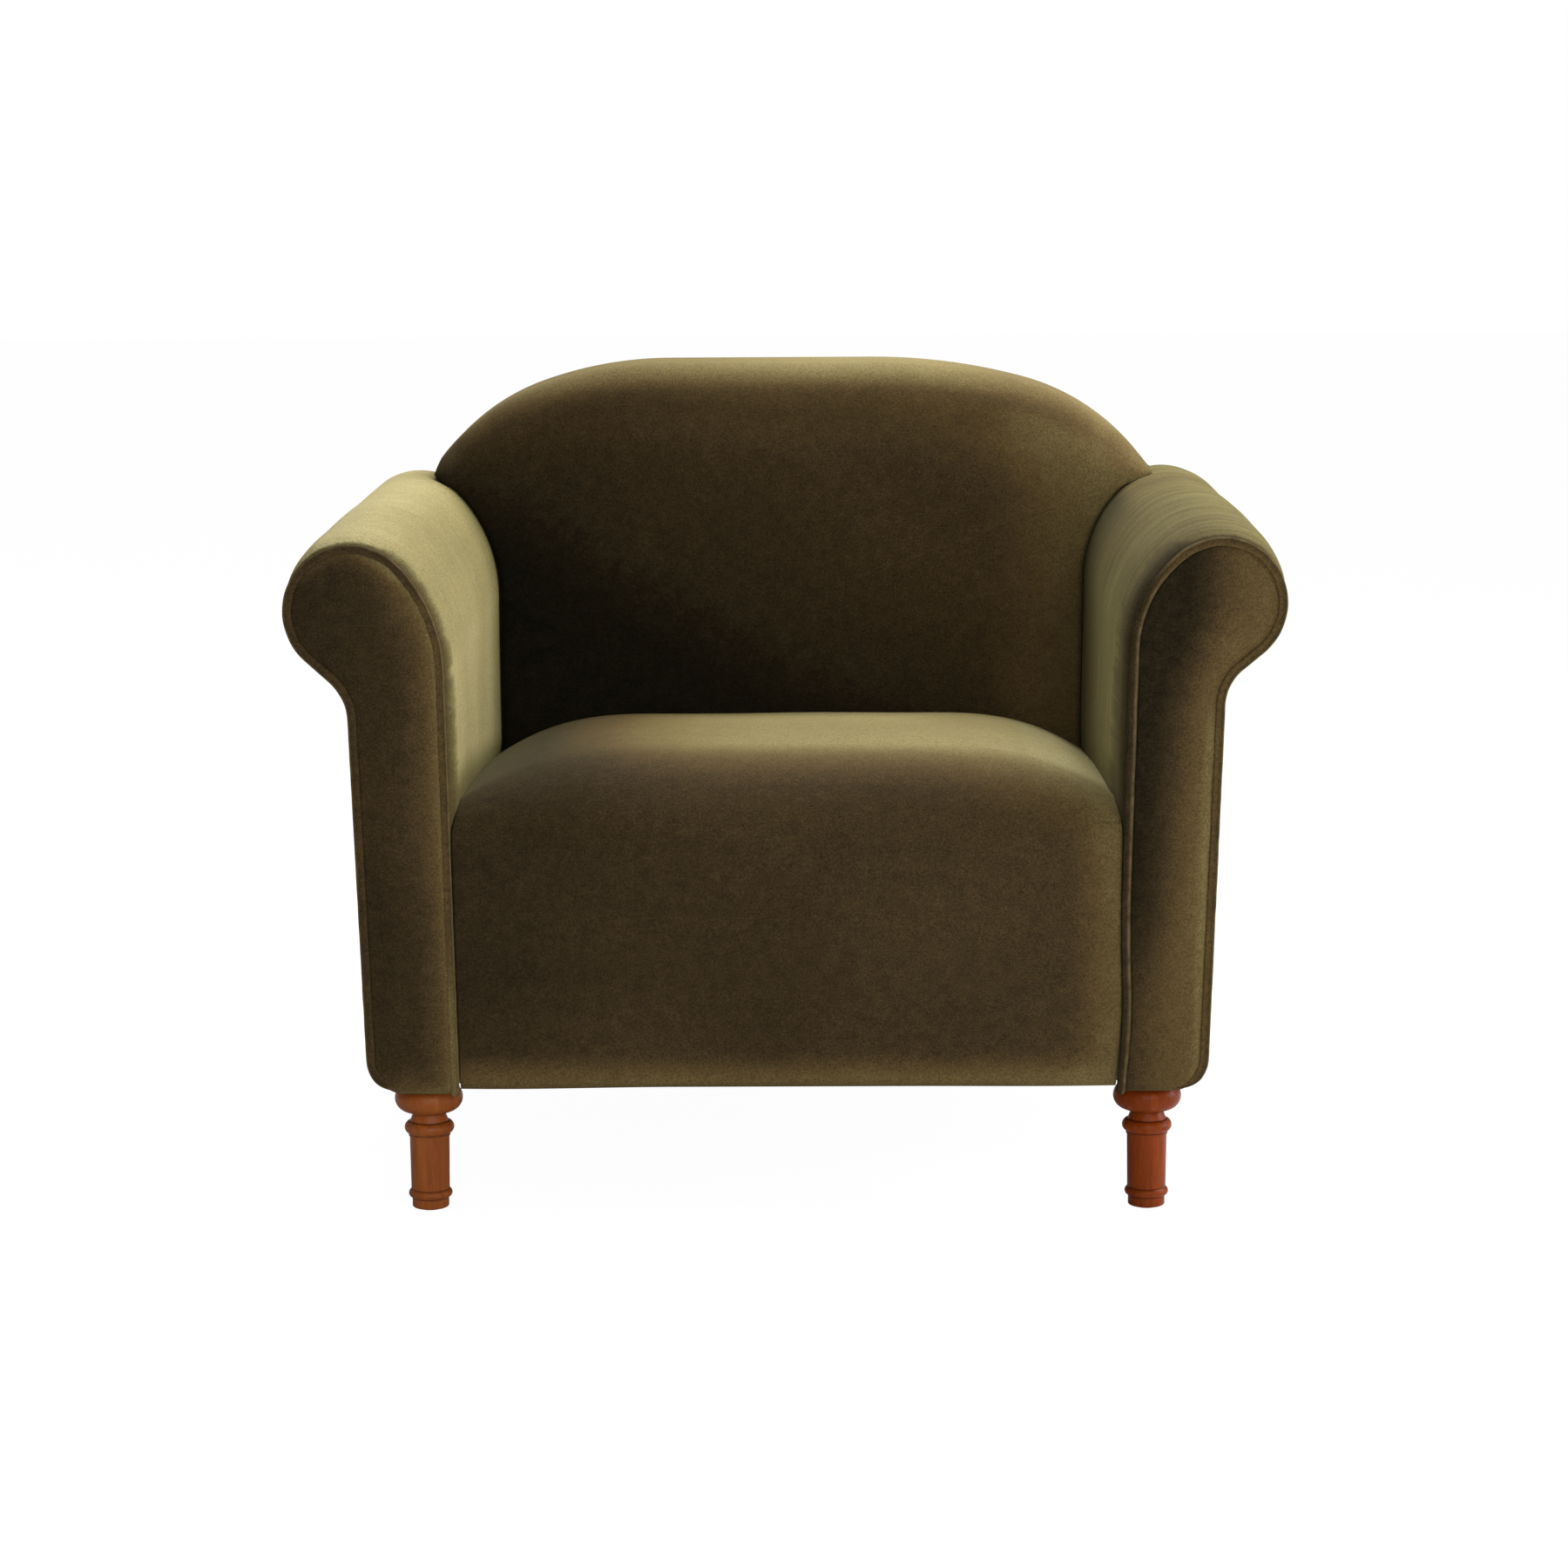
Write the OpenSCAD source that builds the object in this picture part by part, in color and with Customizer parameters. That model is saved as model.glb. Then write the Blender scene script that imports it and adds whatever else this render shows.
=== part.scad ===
// Accent chair with rolled arms, a tight camel-shaped back, a tight domed seat and turned wooden legs.
// Millimetres, +Z up. The front faces -Y, and the origin is on the floor under the middle of the chair.
// Left and right are as seen from the front, so left is -X.

/* [Overall] */
// Depth from the arm facings to the plane of the outside back
chair_d = 790; // [750:5:830]
// Height of the top of the back
chair_h = 808; // [790:1:840]
// Height of the underside of the arms above the floor
leg_h = 129; // [115:1:145]

/* [Arms] */
// Clear width between the two arm facings at their foot
seat_w = 654; // [620:2:700]
// Width of an arm facing at its foot
arm_w = 90; // [84:1:96]
// Height of the top of an arm facing
arm_h = 681; // [665:1:695]
// Radius of the roll of the arm
roll_r = 65; // [60:1:70]
// Distance from the inner foot of the facing out to the centre of the roll
roll_out = 99; // [93:1:105]
// Radius of the long curve between the roll and the inner side
inner_r = 150; // [130:5:165]
// Angle at which the roll turns into that long curve
inner_turn = 135; // [128:1:142]
// Angle below level at which the roll runs straight towards the hollow under it
under_turn = 49; // [44:1:54]
// Radius of the hollow under the roll
neck_r = 51; // [40:1:60]
// Lean of the outer side, so that the arm narrows towards the floor
outer_lean = 1.9; // [1:0.1:3]
// Radius of the outer bottom corner of the arm
foot_r = 35; // [25:1:40]
// How far the padding swells out behind the seam of the facing
arm_swell = 9; // [4:1:12]
// Length over which it swells
swell_run = 90; // [60:5:140]
// Width of the flat band round the facing
band_w = 9; // [7:0.5:12]
// How far the inner end of the band hangs below the arm
band_tip = 6; // [3:1:9]
// Thickness of the padded facing and of its band
facing_t = 7; // [5:1:10]

/* [Seat] */
// Height of the crown of the seat, near its front
seat_h = 454; // [440:1:465]
// Fall of the seat towards the back, in degrees
seat_slope = 3.3; // [2:0.1:5]
// How far the seat drops where it meets the arms
seat_drop = 50; // [35:1:60]
// Depth of the rounded front edge, front to back
nose_d = 100; // [80:5:115]
// Height of the rounded front edge
nose_h = 97; // [80:1:105]
// Setback of the seat's front face behind the band of the facings
front_set = 4; // [2:1:8]
// How much higher the hem of the seat front is than the underside of the arms
hem_up = 4; // [3:1:8]

/* [Back] */
// Half of the flat stretch at the top of the back
top_flat = 146; // [120:1:160]
// Radius of the shallow shoulders of the back
shoulder_r = 370; // [340:5:400]
// Turn of those shoulders, in degrees
shoulder_turn = 35; // [31:1:38]
// Radius of the tight shoulders of the back
corner_r = 120; // [105:1:130]
// Radius of the rounded edge of the back
edge_r = 50; // [40:1:56]
// How far the front of the back bulges forward in the middle
back_crown = 22; // [12:1:30]
// Thickness of the back at seat height, from its front plane to the outside back
back_t = 170; // [160:1:185]
// Recline of the front of the back, in degrees
back_rake = 12.5; // [11:0.5:14]
// Recline of the outside back, in degrees
outer_rake = 5; // [4:0.5:6]

/* [Upholstery] */
// Thickness of the velvet with its backing
cover_t = 2; // [1.5:0.1:2.5]
// Thickness of the arm padding
arm_pad = 22; // [16:1:26]
// Thickness of the fibreboard liners
liner_t = 3; // [2:0.5:4]
// Thickness of the padding over the top edge of the back
edge_pad = 10; // [6:1:14]
// Thickness of the felt over the springs
felt_t = 3; // [2:0.5:5]
// Width of the webbing
web_w = 50; // [40:5:60]
// Thickness of the webbing
web_t = 2; // [1.5:0.5:3]

/* [Frame] */
// Thickness of the frame rails
rail_t = 25; // [20:1:28]
// Height of the seat rails
rail_h = 176; // [165:1:185]
// Thickness of the plywood arm boards
board_t = 18; // [15:1:21]
// Depth of the back posts and back rails
post_t = 45; // [38:1:50]
// Width of the back posts
post_w = 40; // [34:1:46]
// Depth of the corner posts, front to back
corner_d = 70; // [66:1:80]
// Width of the top rail's arch
arch_w = 70; // [60:1:75]
// Height of the middle and lower rails of the back
cross_h = 45; // [40:1:50]
// Height of the arm tack rails
tack_h = 50; // [40:1:55]
// Length of the screws that hold the front arm boards
screw_l = 45; // [40:5:50]
// Diameter of those screws
screw_d = 3.6; // [3:0.1:4]
// Diameter of the spring wire
wire_d = 3.8; // [3:0.2:4.2]
// Half width of a spring's loops
spring_w = 22; // [18:1:26]
// Rise of the springs in the middle
spring_arch = 14; // [8:1:16]

/* [Legs] */
// Largest diameter of the ball of the leg
ball_d = 68.5; // [64:0.5:74]
// Height of the ball
ball_h = 28; // [25:1:32]
// Height of the neck below the ball
neck_h = 10; // [8:0.5:12]
// Diameter of the bead below the neck
bead_d = 50; // [47:1:54]
// Diameter of the neck
neck_d = 32; // [29:1:35]
// Diameter of the shaft at its top
shaft_d = 40; // [36:1:42]
// Diameter of the shaft at its foot
foot_d = 37; // [34:1:39]
// Distance from the inner foot of the facing out to the axis of the leg
leg_in = 34.8; // [33:0.2:37]
// Distance from the front of the arm facings to the axis of a front leg
leg_set = 50; // [48:1:60]
// Distance from the outside back to the axis of a rear leg
leg_rear_set = 52; // [46:1:58]
// Diameter of the leg bolts
bolt_d = 8; // [6:1:8]
// Height of the plastic glides that show below the legs
glide_h = 1.5; // [1:0.5:3]
// Diameter of the glides
glide_d = 24; // [18:1:28]

/* [Hidden] */
// Clearance between parts that nearly touch, and the wider one between two soft parts
gap = 0.3;
soft_gap = 1;
big = 1200;
front_y = -chair_d / 2;
face_back_y = front_y + facing_t;
board_back_y = face_back_y + board_t;
wrap_y = face_back_y + gap;
skin = cover_t + gap;
frame_z = leg_h + hem_up + skin;
rail_top = frame_z + rail_h;
panel_t = skin + liner_t;
pad_in = skin + arm_pad + gap;

// Outside back: a plane that leans back from its foot
rear_foot_y = chair_d / 2 - (chair_h - leg_h) * tan(outer_rake);
function rear_y(z) = rear_foot_y + (z - leg_h) * tan(outer_rake);

function clamp01(v) = min(1, max(0, v));
function ease(v) = 1 - pow(1 - clamp01(v), 2);
function mix(a, b, f) = a + (b - a) * f;

// Outline of the right arm in the X-Z plane. Each point is [x, z, angle of the outward normal, share of the swell].
foot = [seat_w / 2, leg_h];
roll_c = [seat_w / 2 + roll_out, arm_h - roll_r];
inner_c = roll_c - (inner_r - roll_r) * [cos(inner_turn), sin(inner_turn)];
to_inner = inner_c - foot;
inner_rise = atan2(to_inner[1], to_inner[0]) + asin(inner_r / norm(to_inner));
inner_n = inner_rise + 90;
outer_foot = foot + [arm_w, 0];
outer_nv = [cos(-outer_lean), sin(-outer_lean)];
outer_up = [sin(outer_lean), cos(outer_lean)];
roll_end = -under_turn;
under_nv = [cos(roll_end), sin(roll_end)];
neck_side = outer_foot + neck_r * outer_nv;
neck_up = (neck_r - (neck_side - roll_c - roll_r * under_nv) * under_nv) / (outer_up * under_nv);
neck_c = neck_side + neck_up * outer_up;
foot_c = [outer_foot[0] + (foot_r * sin(outer_lean) - foot_r) / cos(outer_lean), leg_h + foot_r];
wrap_z = rail_top + 8;
swell_z = rail_top + 85;
line_top = inner_c + inner_r * [cos(inner_n), sin(inner_n)];
function inner_x(z) = foot[0] + (z - leg_h) / tan(inner_rise);
function inner_share(z) = clamp01((z - rail_top) / (swell_z - rail_top));
function roll_share(a) = clamp01((a + 5) / 65);
inner_zs = [leg_h, wrap_z, swell_z, mix(swell_z, line_top[1], 0.5)];
inner_line = [for (z = inner_zs) [inner_x(z), z, inner_n, inner_share(z)]];
inner_arc = [for (i = [0:4]) let (a = mix(inner_n, inner_turn, i / 5))
    [inner_c[0] + inner_r * cos(a), inner_c[1] + inner_r * sin(a), a, 1]];
roll_arc = [for (i = [0:12]) let (a = mix(inner_turn, roll_end, i / 12))
    [roll_c[0] + roll_r * cos(a), roll_c[1] + roll_r * sin(a), a, roll_share(a)]];
neck_arc = [for (i = [0:5]) let (a = mix(roll_end + 180, 180 - outer_lean, i / 5))
    [neck_c[0] + neck_r * cos(a), neck_c[1] + neck_r * sin(a), a + 180, 0]];
foot_arc = [for (i = [0:5]) let (a = mix(-outer_lean, -90, i / 5))
    [foot_c[0] + foot_r * cos(a), foot_c[1] + foot_r * sin(a), a, 0]];
arm_line = concat(inner_line, inner_arc, roll_arc, neck_arc, foot_arc);
neck_k = len(inner_line) + len(inner_arc) + len(roll_arc) + len(neck_arc) - 1;
last_k = len(arm_line) - 1;
function arm_at(k, d) = let (p = arm_line[k]) [p[0] + d * cos(p[2]), p[1] + d * sin(p[2])];

// The lowest curve of the outline, moved in sideways only and lifted to the bottom height zb
function foot_at(k, d, zb) = let (p = arm_line[k], top = leg_h + foot_r)
    [p[0] + d * cos(p[2]), top - (top - p[1]) * (top - zb) / foot_r];

// Closed outline of the arm, moved in by d, with its bottom at zb
function arm_poly(d, zb) = concat(
    [[inner_x(zb) - d, zb]],
    [for (k = [1:neck_k]) arm_at(k, d)],
    [for (k = [neck_k + 1:last_k]) foot_at(k, d, zb)]);

// Outline of the plywood arm boards: they fill the arm, less the padding on the inner side and the roll
function board_poly() = let (neck = arm_at(neck_k, -pad_in))
    concat(
        [[inner_x(frame_z) + panel_t, frame_z], [inner_x(rail_top) + panel_t, rail_top], arm_at(1, -pad_in) - [0, 8]],
        [for (k = [1:neck_k]) arm_at(k, -pad_in)],
        [neck - [0, 1], arm_at(neck_k, -panel_t) - [0, 1]],
        [for (k = [neck_k + 1:last_k]) foot_at(k, -panel_t, frame_z)]);

// How much of the swell is there at depth y and height z
function swell_at(y, z) = ease((y - wrap_y) / swell_run) * ease((rear_y(z) - skin - y) / (swell_run / 2));
function arm_inner(y, z) = inner_x(z) - arm_swell * swell_at(y, z) * inner_share(z);

// Top of the back as two tangent arcs on each side of a flat stretch
arc1_c = [top_flat, chair_h - shoulder_r];
arc_turn = 90 - shoulder_turn;
arc2_c = arc1_c + (shoulder_r - corner_r) * [cos(arc_turn), sin(arc_turn)];
back_hw = arc2_c[0] + corner_r;
// Where that outline meets the roll of the arm
roll_rr = roll_r + arm_swell + soft_gap;
to_roll = arc2_c - roll_c;
roll_dist = norm(to_roll);
meet_a = (roll_rr * roll_rr - corner_r * corner_r + roll_dist * roll_dist) / (2 * roll_dist);
meet_h = sqrt(roll_rr * roll_rr - meet_a * meet_a);
meet = roll_c + meet_a * to_roll / roll_dist + meet_h * [to_roll[1], -to_roll[0]] / roll_dist;
meet_roll = atan2(meet[1] - roll_c[1], meet[0] - roll_c[0]);
meet_arc = atan2(meet[1] - arc2_c[1], meet[0] - arc2_c[0]);
back_low = rail_top + 34;
arm_off = arm_swell + soft_gap;
back_half = concat(
    [[foot[0] * 0.76, back_low]],
    [[arm_at(1, arm_off * inner_share(back_low))[0], back_low]],
    [for (k = [2:len(inner_line) + len(inner_arc)]) arm_at(k, arm_off)],
    [for (i = [1:2]) let (a = mix(inner_turn, meet_roll, i / 3))
        roll_c + roll_rr * [cos(a), sin(a)]],
    [for (i = [0:4]) let (a = mix(meet_arc, arc_turn, i / 5)) arc2_c + corner_r * [cos(a), sin(a)]],
    [for (i = [0:5]) let (a = mix(arc_turn, 90, i / 5)) arc1_c + shoulder_r * [cos(a), sin(a)]],
    [[top_flat / 2, chair_h]]);
back_loop = concat(
    back_half,
    [[0, chair_h]],
    [for (i = [len(back_half) - 1:-1:0]) [-back_half[i][0], back_half[i][1]]],
    [for (f = [-0.38, 0, 0.38]) [foot[0] * f, back_low]]);
back_mid = [0, mix(back_low, chair_h, 0.45)];
back_depth = panel_t + post_t + 2 * web_t + gap;

// Front of the back pad: a leaning plane, bulged in the middle
seat_back_z = seat_h - 30;
back_y0 = rear_y(seat_back_z) - back_t;
function back_face(x, z) = back_y0 + (z - seat_back_z) * tan(back_rake)
    - back_crown * (1 - pow(x / back_hw, 2));
function rounding(e) = edge_r * (1 - sqrt(max(0, 1 - pow(1 - clamp01(e / edge_r), 2))));

// A ring of the back pad, e inside of its outline, with d of its surface taken off
function back_ring(e, t, d) = [for (p = back_loop)
    let (v = p - back_mid, r = edge_r - d, q = back_mid + v * (1 - (d + e * r) / norm(v)) * t,
         round = r * (1 - sqrt(max(0, 1 - pow(1 - e, 2)))))
    [q[0], back_face(q[0], q[1]) + d + round, q[1]]];
function back_rings(d, rear) = concat(
    [[for (p = back_ring(0, 1, d)) [p[0], rear_y(p[2]) - (p[2] < back_low + 5 ? back_depth : rear), p[2]]]],
    [for (a = [0:22.5:90]) back_ring(1 - cos(a), 1, d)],
    [for (t = [0.76, 0.5, 0.24]) back_ring(1, t, d)]);
function middle(ring) = let (n = len(ring)) [for (i = [0:2]) [for (p = ring) p[i] / n] * [for (p = ring) 1]];

// Outline of the back, moved in by d, with straight sides down to the frame
function camel(d) = let (half = concat(
        [[back_hw - d, frame_z]],
        [for (i = [0:7]) let (a = arc_turn * i / 7) arc2_c + (corner_r - d) * [cos(a), sin(a)]],
        [for (i = [1:6]) let (a = mix(arc_turn, 90, i / 6)) arc1_c + (shoulder_r - d) * [cos(a), sin(a)]]))
    concat(half, [for (i = [len(half) - 1:-1:0]) [-half[i][0], half[i][1]]]);

// Side view of the seat from the back to the hem: [y, z, outward y, outward z, share of the side drop]
nose_y = front_y + front_set + nose_d;
face_y = front_y + front_set;
hem_z = leg_h + hem_up;
nose_z = seat_h - nose_h;
function seat_row(i, end) = i < 5
    ? let (y = mix(end, nose_y, i / 4)) [y, seat_h - (y - nose_y) * tan(seat_slope), 0, 1, 1]
    : i < 11
    ? let (a = (i - 4) * 15)
        [nose_y - nose_d * sin(a), nose_z + nose_h * cos(a), -sin(a), cos(a), mix(1, 0.15, sin(a))]
    : i < 14
    ? [face_y, mix(nose_z, hem_z + 10, (i - 10) / 3), -1, 0, 0.15]
    : i == 14 ? [face_y, hem_z, -1, -1, 0.15] : [board_back_y - 1, hem_z, 0.2, -1, 0.1];
side_x = [1, 1, 0.955, 0.905, 0.84, 0.66, 0.36];
side_s = concat(side_x, [0], [for (i = [6:-1:0]) -side_x[i]]);
last_s = len(side_s) - 1;
flat_x = 150;
tuck = 45;
felt_z = rail_top + wire_d + 1.5 + spring_arch + gap;
foam_z = felt_z + felt_t + gap;

// Rear end of the seat at x, where its surface is at height z
function seat_end(x, z) = back_face(x, z) + rounding(max(12, inner_x(z) - arm_off - abs(x))) - soft_gap;

// A point of the seat's surface, d below it
function seat_pt(i, j, d) = let (
        edge = j == 0 || j == last_s,
        start = seat_row(i, back_y0),
        low = seat_drop * start[4] + (edge ? tuck * start[4] : 0),
        room = arm_inner(start[0] - start[2] * low, max(start[1] - max(0, start[3]) * low, leg_h)) - soft_gap - d,
        x = side_s[j] * room,
        fall = pow(clamp01((abs(x) - flat_x) / (room - flat_x)), 2.6),
        row = seat_row(i, seat_end(x, seat_back_z - seat_drop * fall - (edge ? tuck : 0))),
        off = seat_drop * row[4] * fall + d + (edge ? tuck * row[4] : 0))
    [x, row[0] - row[2] * off, row[1] - row[3] * (row[3] < 0 ? d + (edge ? 6 : 0) : off)];

// The underside of the seat foam: flat over the felt, then down the front rail
function seat_under(i, j) = let (
        s = side_s[j] * (j == 0 || j == last_s ? 1 : 0.985),
        x = s * (arm_inner(0, foam_z) - soft_gap - skin),
        row = seat_row(i, seat_end(x, foam_z)), r = 20, a = (i - 4) * 15)
    i < 5 ? [x, max(row[0], board_back_y + r), foam_z]
    : i < 11 ? [x, board_back_y + r * (1 - sin(a)) - gap * sin(a), foam_z - r * (1 - cos(a))]
    : [s * (inner_x(leg_h) - soft_gap - skin), board_back_y - gap, mix(foam_z - r, frame_z + gap, (i - 10) / 3)];

// Legs and their fixings
leg_x = foot[0] + leg_in;
leg_front_y = front_y + leg_set;
leg_rear_y = rear_y(leg_h) - leg_rear_set;
leg_spots = [for (y = [leg_front_y, leg_rear_y]) for (s = [-1, 1]) [s * leg_x, y]];
post_in = foot[0] + panel_t + 1;
post_out = outer_foot[0] - panel_t;
rear_post_y = leg_rear_y - 32;
nut_r = 5.5;
nut_h = 13;
flange_r = 11;
flange_t = 1.8;
bolt_low = 60;
bolt_top = frame_z + 50;
spigot_r = 16;

// Springs
spring_count = 5;
spring_gap = 115;
spring_y0 = board_back_y + rail_t / 2;
spring_y1 = rear_y(rail_top) - panel_t - rail_t / 2;
spring_z = rail_top + wire_d / 2 + 1.5;
spring_waves = 9;

velvet = "#5a4a28";
timber = "#c9a878";
plywood = "#b98f5c";
turned = "#8a4a26";

// Sheet between two grids of points with the same rows and columns
module sheet(a, b) {
    rows = len(a);
    cols = len(a[0]);
    n = rows * cols;
    points = concat([for (r = a) for (p = r) p], [for (r = b) for (p = r) p]);
    faces = concat(
        [for (i = [0:rows - 2]) for (j = [0:cols - 2]) let (p = i * cols + j)
            for (f = [[p, p + cols, p + cols + 1], [p, p + cols + 1, p + 1]]) f],
        [for (i = [0:rows - 2]) for (j = [0:cols - 2]) let (p = n + i * cols + j)
            for (f = [[p, p + cols + 1, p + cols], [p, p + 1, p + cols + 1]]) f],
        [for (i = [0:rows - 2]) let (p = i * cols, q = p + cols)
            for (f = [[p, p + n, q + n], [p, q + n, q]]) f],
        [for (i = [0:rows - 2]) let (p = i * cols + cols - 1, q = p + cols)
            for (f = [[p, q, q + n], [p, q + n, p + n]]) f],
        [for (j = [0:cols - 2]) for (f = [[j, j + 1, j + 1 + n], [j, j + 1 + n, j + n]]) f],
        [for (j = [0:cols - 2]) let (p = (rows - 1) * cols + j)
            for (f = [[p, p + n, p + 1 + n], [p, p + 1 + n, p + 1]]) f]);
    polyhedron(points, faces, convexity = 6);
}

// Dome between two stacks of closed rings, each capped at its middle
module dome(a, b) {
    n = len(a[0]);
    na = n * len(a);
    nb = n * len(b);
    points = concat([for (r = a) for (p = r) p], [middle(a[len(a) - 1])],
        [for (r = b) for (p = r) p], [middle(b[len(b) - 1])]);
    start = na + 1;
    faces = concat(
        [for (i = [0:len(a) - 2]) for (j = [0:n - 1]) let (p = i * n + j, q = i * n + (j + 1) % n)
            for (f = [[p, p + n, q + n], [p, q + n, q]]) f],
        [for (j = [0:n - 1]) [na - n + j, na, na - n + (j + 1) % n]],
        len(b) < 2 ? [] : [for (i = [0:len(b) - 2]) for (j = [0:n - 1])
            let (p = start + i * n + j, q = start + i * n + (j + 1) % n)
            for (f = [[p, q + n, p + n], [p, q, q + n]]) f],
        [for (j = [0:n - 1]) [start + nb - n + j, start + nb - n + (j + 1) % n, start + nb]],
        [for (j = [0:n - 1]) let (q = (j + 1) % n)
            for (f = [[j, q, start + q], [j, start + q, start + j]]) f]);
    polyhedron(points, faces, convexity = 6);
}

// Round tube of radius r along a list of points
module tube(path, r, sides) {
    m = len(path);
    function way(i) = let (d = path[min(i + 1, m - 1)] - path[max(i - 1, 0)]) d / norm(d);
    points = [for (i = [0:m - 1])
        let (t = way(i), s = cross(t, [0, 0, 1]), u = s / norm(s), v = cross(u, t))
        for (k = [0:sides - 1]) path[i] + r * (cos(360 * k / sides) * u + sin(360 * k / sides) * v)];
    faces = concat(
        [for (i = [0:m - 2]) for (k = [0:sides - 1])
            let (p = i * sides + k, q = i * sides + (k + 1) % sides)
            for (f = [[p, p + sides, q + sides], [p, q + sides, q]]) f],
        [for (k = [1:sides - 2]) [0, k, k + 1]],
        [for (k = [1:sides - 2]) let (e = (m - 1) * sides) [e, e + k + 1, e + k]]);
    polyhedron(points, faces, convexity = 10);
}

// Solid with the given X-Z outline between depths y0 and y1
module prism(points, y0, y1) {
    translate([0, y1, 0]) rotate([90, 0, 0]) linear_extrude(y1 - y0) polygon(points);
}

// Everything between t0 and t1 in front of the plane of the outside back
module rear_slab(t0, t1) {
    lean = cos(outer_rake);
    translate([0, rear_foot_y - t1, leg_h]) rotate([-outer_rake, 0, 0])
        translate([-big / 2, 0, -big / 2]) cube([big, (t1 - t0) * lean, 2 * big]);
}

// Box given by its low and high corners
module box(lo, hi) {
    translate(lo) cube(hi - lo);
}

// The top of the back above z, moved in by d
module camel_top(d, z) {
    intersection() {
        prism(camel(d), 0, chair_d);
        box([-big, 0, z], [big, chair_d, 2 * big]);
    }
}

module both(left) {
    if (left) mirror([1, 0, 0]) children();
    else children();
}

// Stations along an arm, and its swelled surface between two points of the outline
arm_us = [0, 0.03, 0.07, 0.12, 0.5, 0.93, 0.97, 1];
function arm_grid(k0, k1, d, swelled) = [for (u = arm_us) [for (k = [k0:k1])
    let (z = arm_line[k][1], y = mix(wrap_y, rear_y(z) - skin, u),
         q = arm_at(k, (swelled ? arm_swell * arm_line[k][3] * swell_at(y, z) : 0) - d))
    [q[0], y, q[1]]]];

module front_rail() {
    color(timber) box([-post_in, board_back_y, frame_z], [post_in, board_back_y + rail_t, rail_top]);
}

module rear_rail() {
    color(timber) intersection() {
        rear_slab(panel_t, panel_t + rail_t);
        box([-post_in, 0, frame_z], [post_in, chair_d, rail_top]);
    }
}

module side_rail(left) {
    color(timber) both(left) intersection() {
        box([post_out - rail_t, board_back_y + corner_d, frame_z], [post_out, rear_post_y, rail_top]);
        prism(arm_poly(-panel_t, frame_z), front_y, chair_d / 2);
    }
}

module post_bore() {
    translate([0, 0, frame_z - 1]) cylinder(r = bolt_d / 2 + gap, h = bolt_top - frame_z + 4, $fn = 48);
    translate([0, 0, frame_z - 1]) cylinder(r = nut_r + 0.1, h = nut_h + 1.3, $fn = 48);
    translate([0, 0, frame_z - 1]) cylinder(r = flange_r + gap, h = flange_t + 1, $fn = 64);
}

module corner_posts() {
    color(timber) for (left = [true, false]) both(left) difference() {
        intersection() {
            union() {
                box([post_in, board_back_y, frame_z], [post_out, board_back_y + corner_d, rail_top]);
                intersection() {
                    box([post_in, rear_post_y, frame_z], [post_out, chair_d / 2, rail_top]);
                    rear_slab(panel_t, chair_d);
                }
            }
            prism(arm_poly(-panel_t, frame_z), front_y, chair_d / 2);
        }
        for (y = [leg_front_y, leg_rear_y]) translate([leg_x, y, 0]) post_bore();
        for (p = screw_spots) translate([p[0], 0, p[1]]) screw_hole(screw_d / 2 + 0.1);
    }
}

// Screws that hold each front arm board to its corner post
screw_spots = [for (f = [1, 3, 5]) [mix(post_in, post_out, 0.8), frame_z + rail_h * f / 6]];
head_h = screw_d * 0.8;
module screw_hole(r) {
    translate([0, face_back_y - 1, 0]) rotate([-90, 0, 0]) cylinder(r = r, h = screw_l + 2, $fn = 32);
}

module frame_screws() {
    color("silver") for (s = [-1, 1]) for (p = screw_spots) translate([s * p[0], face_back_y, p[1]])
        rotate([-90, 0, 0]) {
            cylinder(r1 = screw_d * 1.1, r2 = screw_d / 2, h = head_h, $fn = 32);
            cylinder(d = screw_d, h = screw_l, $fn = 32);
        }
}

module arm_front_board(left) {
    color(plywood) both(left) difference() {
        prism(board_poly(), face_back_y, board_back_y);
        for (p = screw_spots) translate([p[0], 0, p[1]]) {
            screw_hole(screw_d / 2 + 0.1);
            translate([0, face_back_y, 0]) rotate([-90, 0, 0])
                cylinder(r1 = screw_d * 1.1 + gap, r2 = screw_d / 2 + 0.1, h = head_h + gap, $fn = 32);
        }
    }
}

module arm_rear_board(left) {
    color(plywood) both(left) difference() {
        intersection() {
            prism(board_poly(), 0, chair_d / 2);
            rear_slab(panel_t, panel_t + board_t);
        }
        box([0, 0, 0], [big, chair_d, rail_top]);
    }
}

// A rail that runs from the front board to the rear board of an arm
module arm_rail(x0, z0, w, h) {
    color(timber) intersection() {
        box([x0, board_back_y, z0], [x0 + w, chair_d / 2, z0 + h]);
        rear_slab(panel_t + board_t, chair_d + big);
    }
}

top_rail_w = 1.3 * (roll_r - pad_in - liner_t);
module arm_top_rail(left) {
    both(left) arm_rail(roll_c[0] - top_rail_w / 2, roll_c[1] - top_rail_w / 2, top_rail_w, top_rail_w);
}

module arm_tack_rail(left) {
    both(left) arm_rail(inner_x(wrap_z + tack_h) + pad_in + liner_t + gap, wrap_z, rail_t, tack_h);
}

// Part of the back frame: an X-Z outline cut out of the slab behind the back pad
module back_frame(points) {
    intersection() {
        prism(points, 0, chair_d / 2 + post_t);
        rear_slab(panel_t, panel_t + post_t);
    }
}

function rect(x0, x1, z0, z1) = [[x0, z0], [x1, z0], [x1, z1], [x0, z1]];
arch_z = arm_h + arm_swell + 6;
post_x = inner_x(rail_top) - arm_swell - soft_gap - skin - 8;
mid_z = mix(rail_top, arch_z, 0.62);
low_z = back_low - 8;

module back_post(left) {
    color(timber) both(left) back_frame(rect(post_x - post_w, post_x, rail_top, arch_z));
}

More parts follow.
